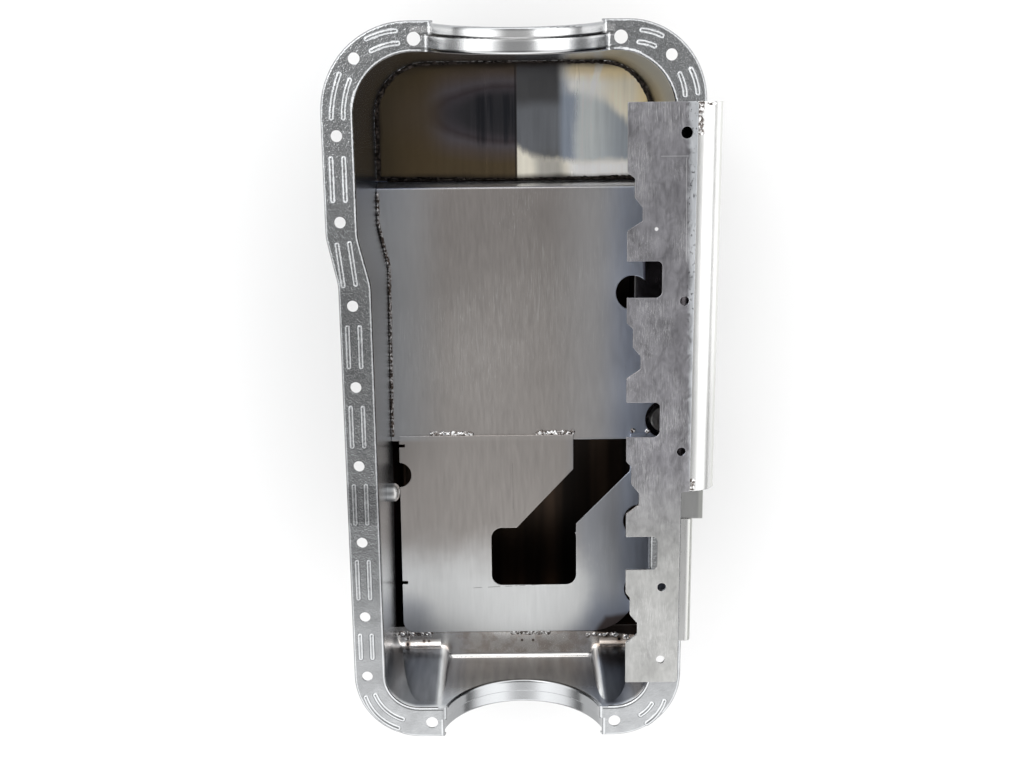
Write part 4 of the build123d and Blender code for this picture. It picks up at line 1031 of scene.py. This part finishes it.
TRAY_TACKS = (                      # start, end and width of each run of puddles on the trays and the ledge
    ((-0.0778, -0.0545, JOINT_Z), (-0.0435, -0.0545, JOINT_Z), 0.0050),
    ((0.0162, -0.0545, JOINT_Z), (0.0470, -0.0545, JOINT_Z), 0.0050),
    ((0.1004, -0.0534, JOINT_Z), (0.1004, -0.0534, JOINT_Z), 0.0050),
    ((0.1135, -0.0534, JOINT_Z), (0.1135, -0.0534, JOINT_Z), 0.0050),
    ((-0.0085, -0.2392, LEDGE_Z), (0.0240, -0.2392, LEDGE_Z), 0.0052),
    ((-0.1035, -0.2400, LEDGE_Z), (-0.0825, -0.2390, LEDGE_Z), 0.0052),
    ((0.0600, -0.2425, LEDGE_Z), (0.0850, -0.2415, LEDGE_Z), 0.0036),
)
LEDGE_LUMPS = (                     # x, y, width and height of the lumps at the ends of the ledge
    (-0.1095, -0.2400, 0.0075, 0.0026), (-0.1045, -0.2440, 0.0052, 0.0016),
    (-0.1000, -0.2400, 0.0060, 0.0020), (-0.0930, -0.2392, 0.0055, 0.0016),
    (0.0670, -0.2420, 0.0050, 0.0014), (0.0853, -0.2425, 0.0065, 0.0022),
    (0.0955, -0.2445, 0.0070, 0.0024), (0.0905, -0.2520, 0.0050, 0.0016),
)
KICKOUT_TACKS = (                   # the same for the runs on top of the kick-out
    ((0.1370, 0.2274, 0.0000), (0.1370, 0.2060, 0.0000), 0.0048),
    ((0.1385, 0.2272, -0.0006), (0.1475, 0.2272, -0.0012), 0.0026),
    ((0.1370, -0.0664, 0.0000), (0.1370, -0.0726, 0.0000), 0.0046),
)


class OILPAN_OT_burnt_beads(bpy.types.Operator):
    """Ragged dark beads round the front floor and along the left edge of the tray"""
    bl_idname = "oilpan.burnt_beads"
    bl_label = "Burnt beads"

    def execute(self, context):
        weld = context.scene.oilpan_weld
        burnt = weld_finish("burnt weld", (0.060, 0.050, 0.045), tuple(weld.bead), 0.42)
        scorched = weld_finish("scorched weld", (0.36, 0.35, 0.35), (0.050, 0.038, 0.032), 0.30)
        for name, ragged, material in (("floor_plate_weld", weld.ragged, burnt),
                                       ("tray_side_weld", weld.ragged * 0.7, scorched)):
            bead = ragged_copy(name, weld.skin, ragged)
            add_piece(bead, name + "_skin", material)
            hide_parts(name)
        return {"FINISHED"}


class OILPAN_OT_tacks(bpy.types.Operator):
    """Rippled tack welds on the trays, the rear ledge and the kick-out"""
    bl_idname = "oilpan.tacks"
    bl_label = "Tack welds"

    def execute(self, context):
        weld = context.scene.oilpan_weld
        material = weld_finish("clean weld", tuple(weld.tack), (0.16, 0.14, 0.13), 0.16)
        for name, runs, height, lumps in (("tray_tack_welds", TRAY_TACKS, TRAY_TACK_HEIGHT, LEDGE_LUMPS),
                                          ("kickout_tack_welds", KICKOUT_TACKS, KICKOUT_TACK_HEIGHT, ())):
            drops = [drop_of_weld((x, y, LEDGE_Z), (width, width * 0.85, tall * 2.0))
                     for x, y, width, tall in lumps]
            for start, end, width in runs:
                drops += puddle_run(start, end, width, height, weld.pitch)
            piece = fuse(joined(drops, name + "_puddles"), weld.skin * 0.6, weld.ragged * 0.25, TACK_WANDER)
            add_piece(piece, name + "_puddles", material)
            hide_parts(name)
        return {"FINISHED"}


# ---- panel and run ----------------------------------------------------------------
class OILPAN_PT_panel(bpy.types.Panel):
    """Lists the steps that dress the oil pan"""
    bl_idname = "OILPAN_PT_panel"
    bl_label = "Oil pan"
    bl_space_type = "VIEW_3D"
    bl_region_type = "UI"
    bl_category = "Oil pan"

    def draw(self, context):
        for settings in ("oilpan_studio", "oilpan_sheet", "oilpan_weld"):
            group = getattr(context.scene, settings)
            box = self.layout.box()
            for name in group.__annotations__:
                box.prop(group, name)
        for step in STEPS:
            self.layout.operator(step.bl_idname)


STEPS = (
    OILPAN_OT_stamping,
    OILPAN_OT_front_floor,
    OILPAN_OT_trays,
    OILPAN_OT_scraper,
    OILPAN_OT_kickout,
    OILPAN_OT_sump,
    OILPAN_OT_fittings,
    OILPAN_OT_burnt_beads,
    OILPAN_OT_tacks,
    OILPAN_OT_studio,
)
GROUPS = {"oilpan_studio": StudioSettings, "oilpan_sheet": SheetSettings, "oilpan_weld": WeldSettings}


def register():
    for cls in (*GROUPS.values(), *STEPS, OILPAN_PT_panel):
        bpy.utils.register_class(cls)
    for name, group in GROUPS.items():
        setattr(bpy.types.Scene, name, PointerProperty(type=group))


def unregister():
    for name in GROUPS:
        delattr(bpy.types.Scene, name)
    for cls in reversed((*GROUPS.values(), *STEPS, OILPAN_PT_panel)):
        bpy.utils.unregister_class(cls)


def main():
    register()
    for step in STEPS:
        group, name = step.bl_idname.split(".")
        getattr(getattr(bpy.ops, group), name)()


if __name__ == "__main__":
    main()
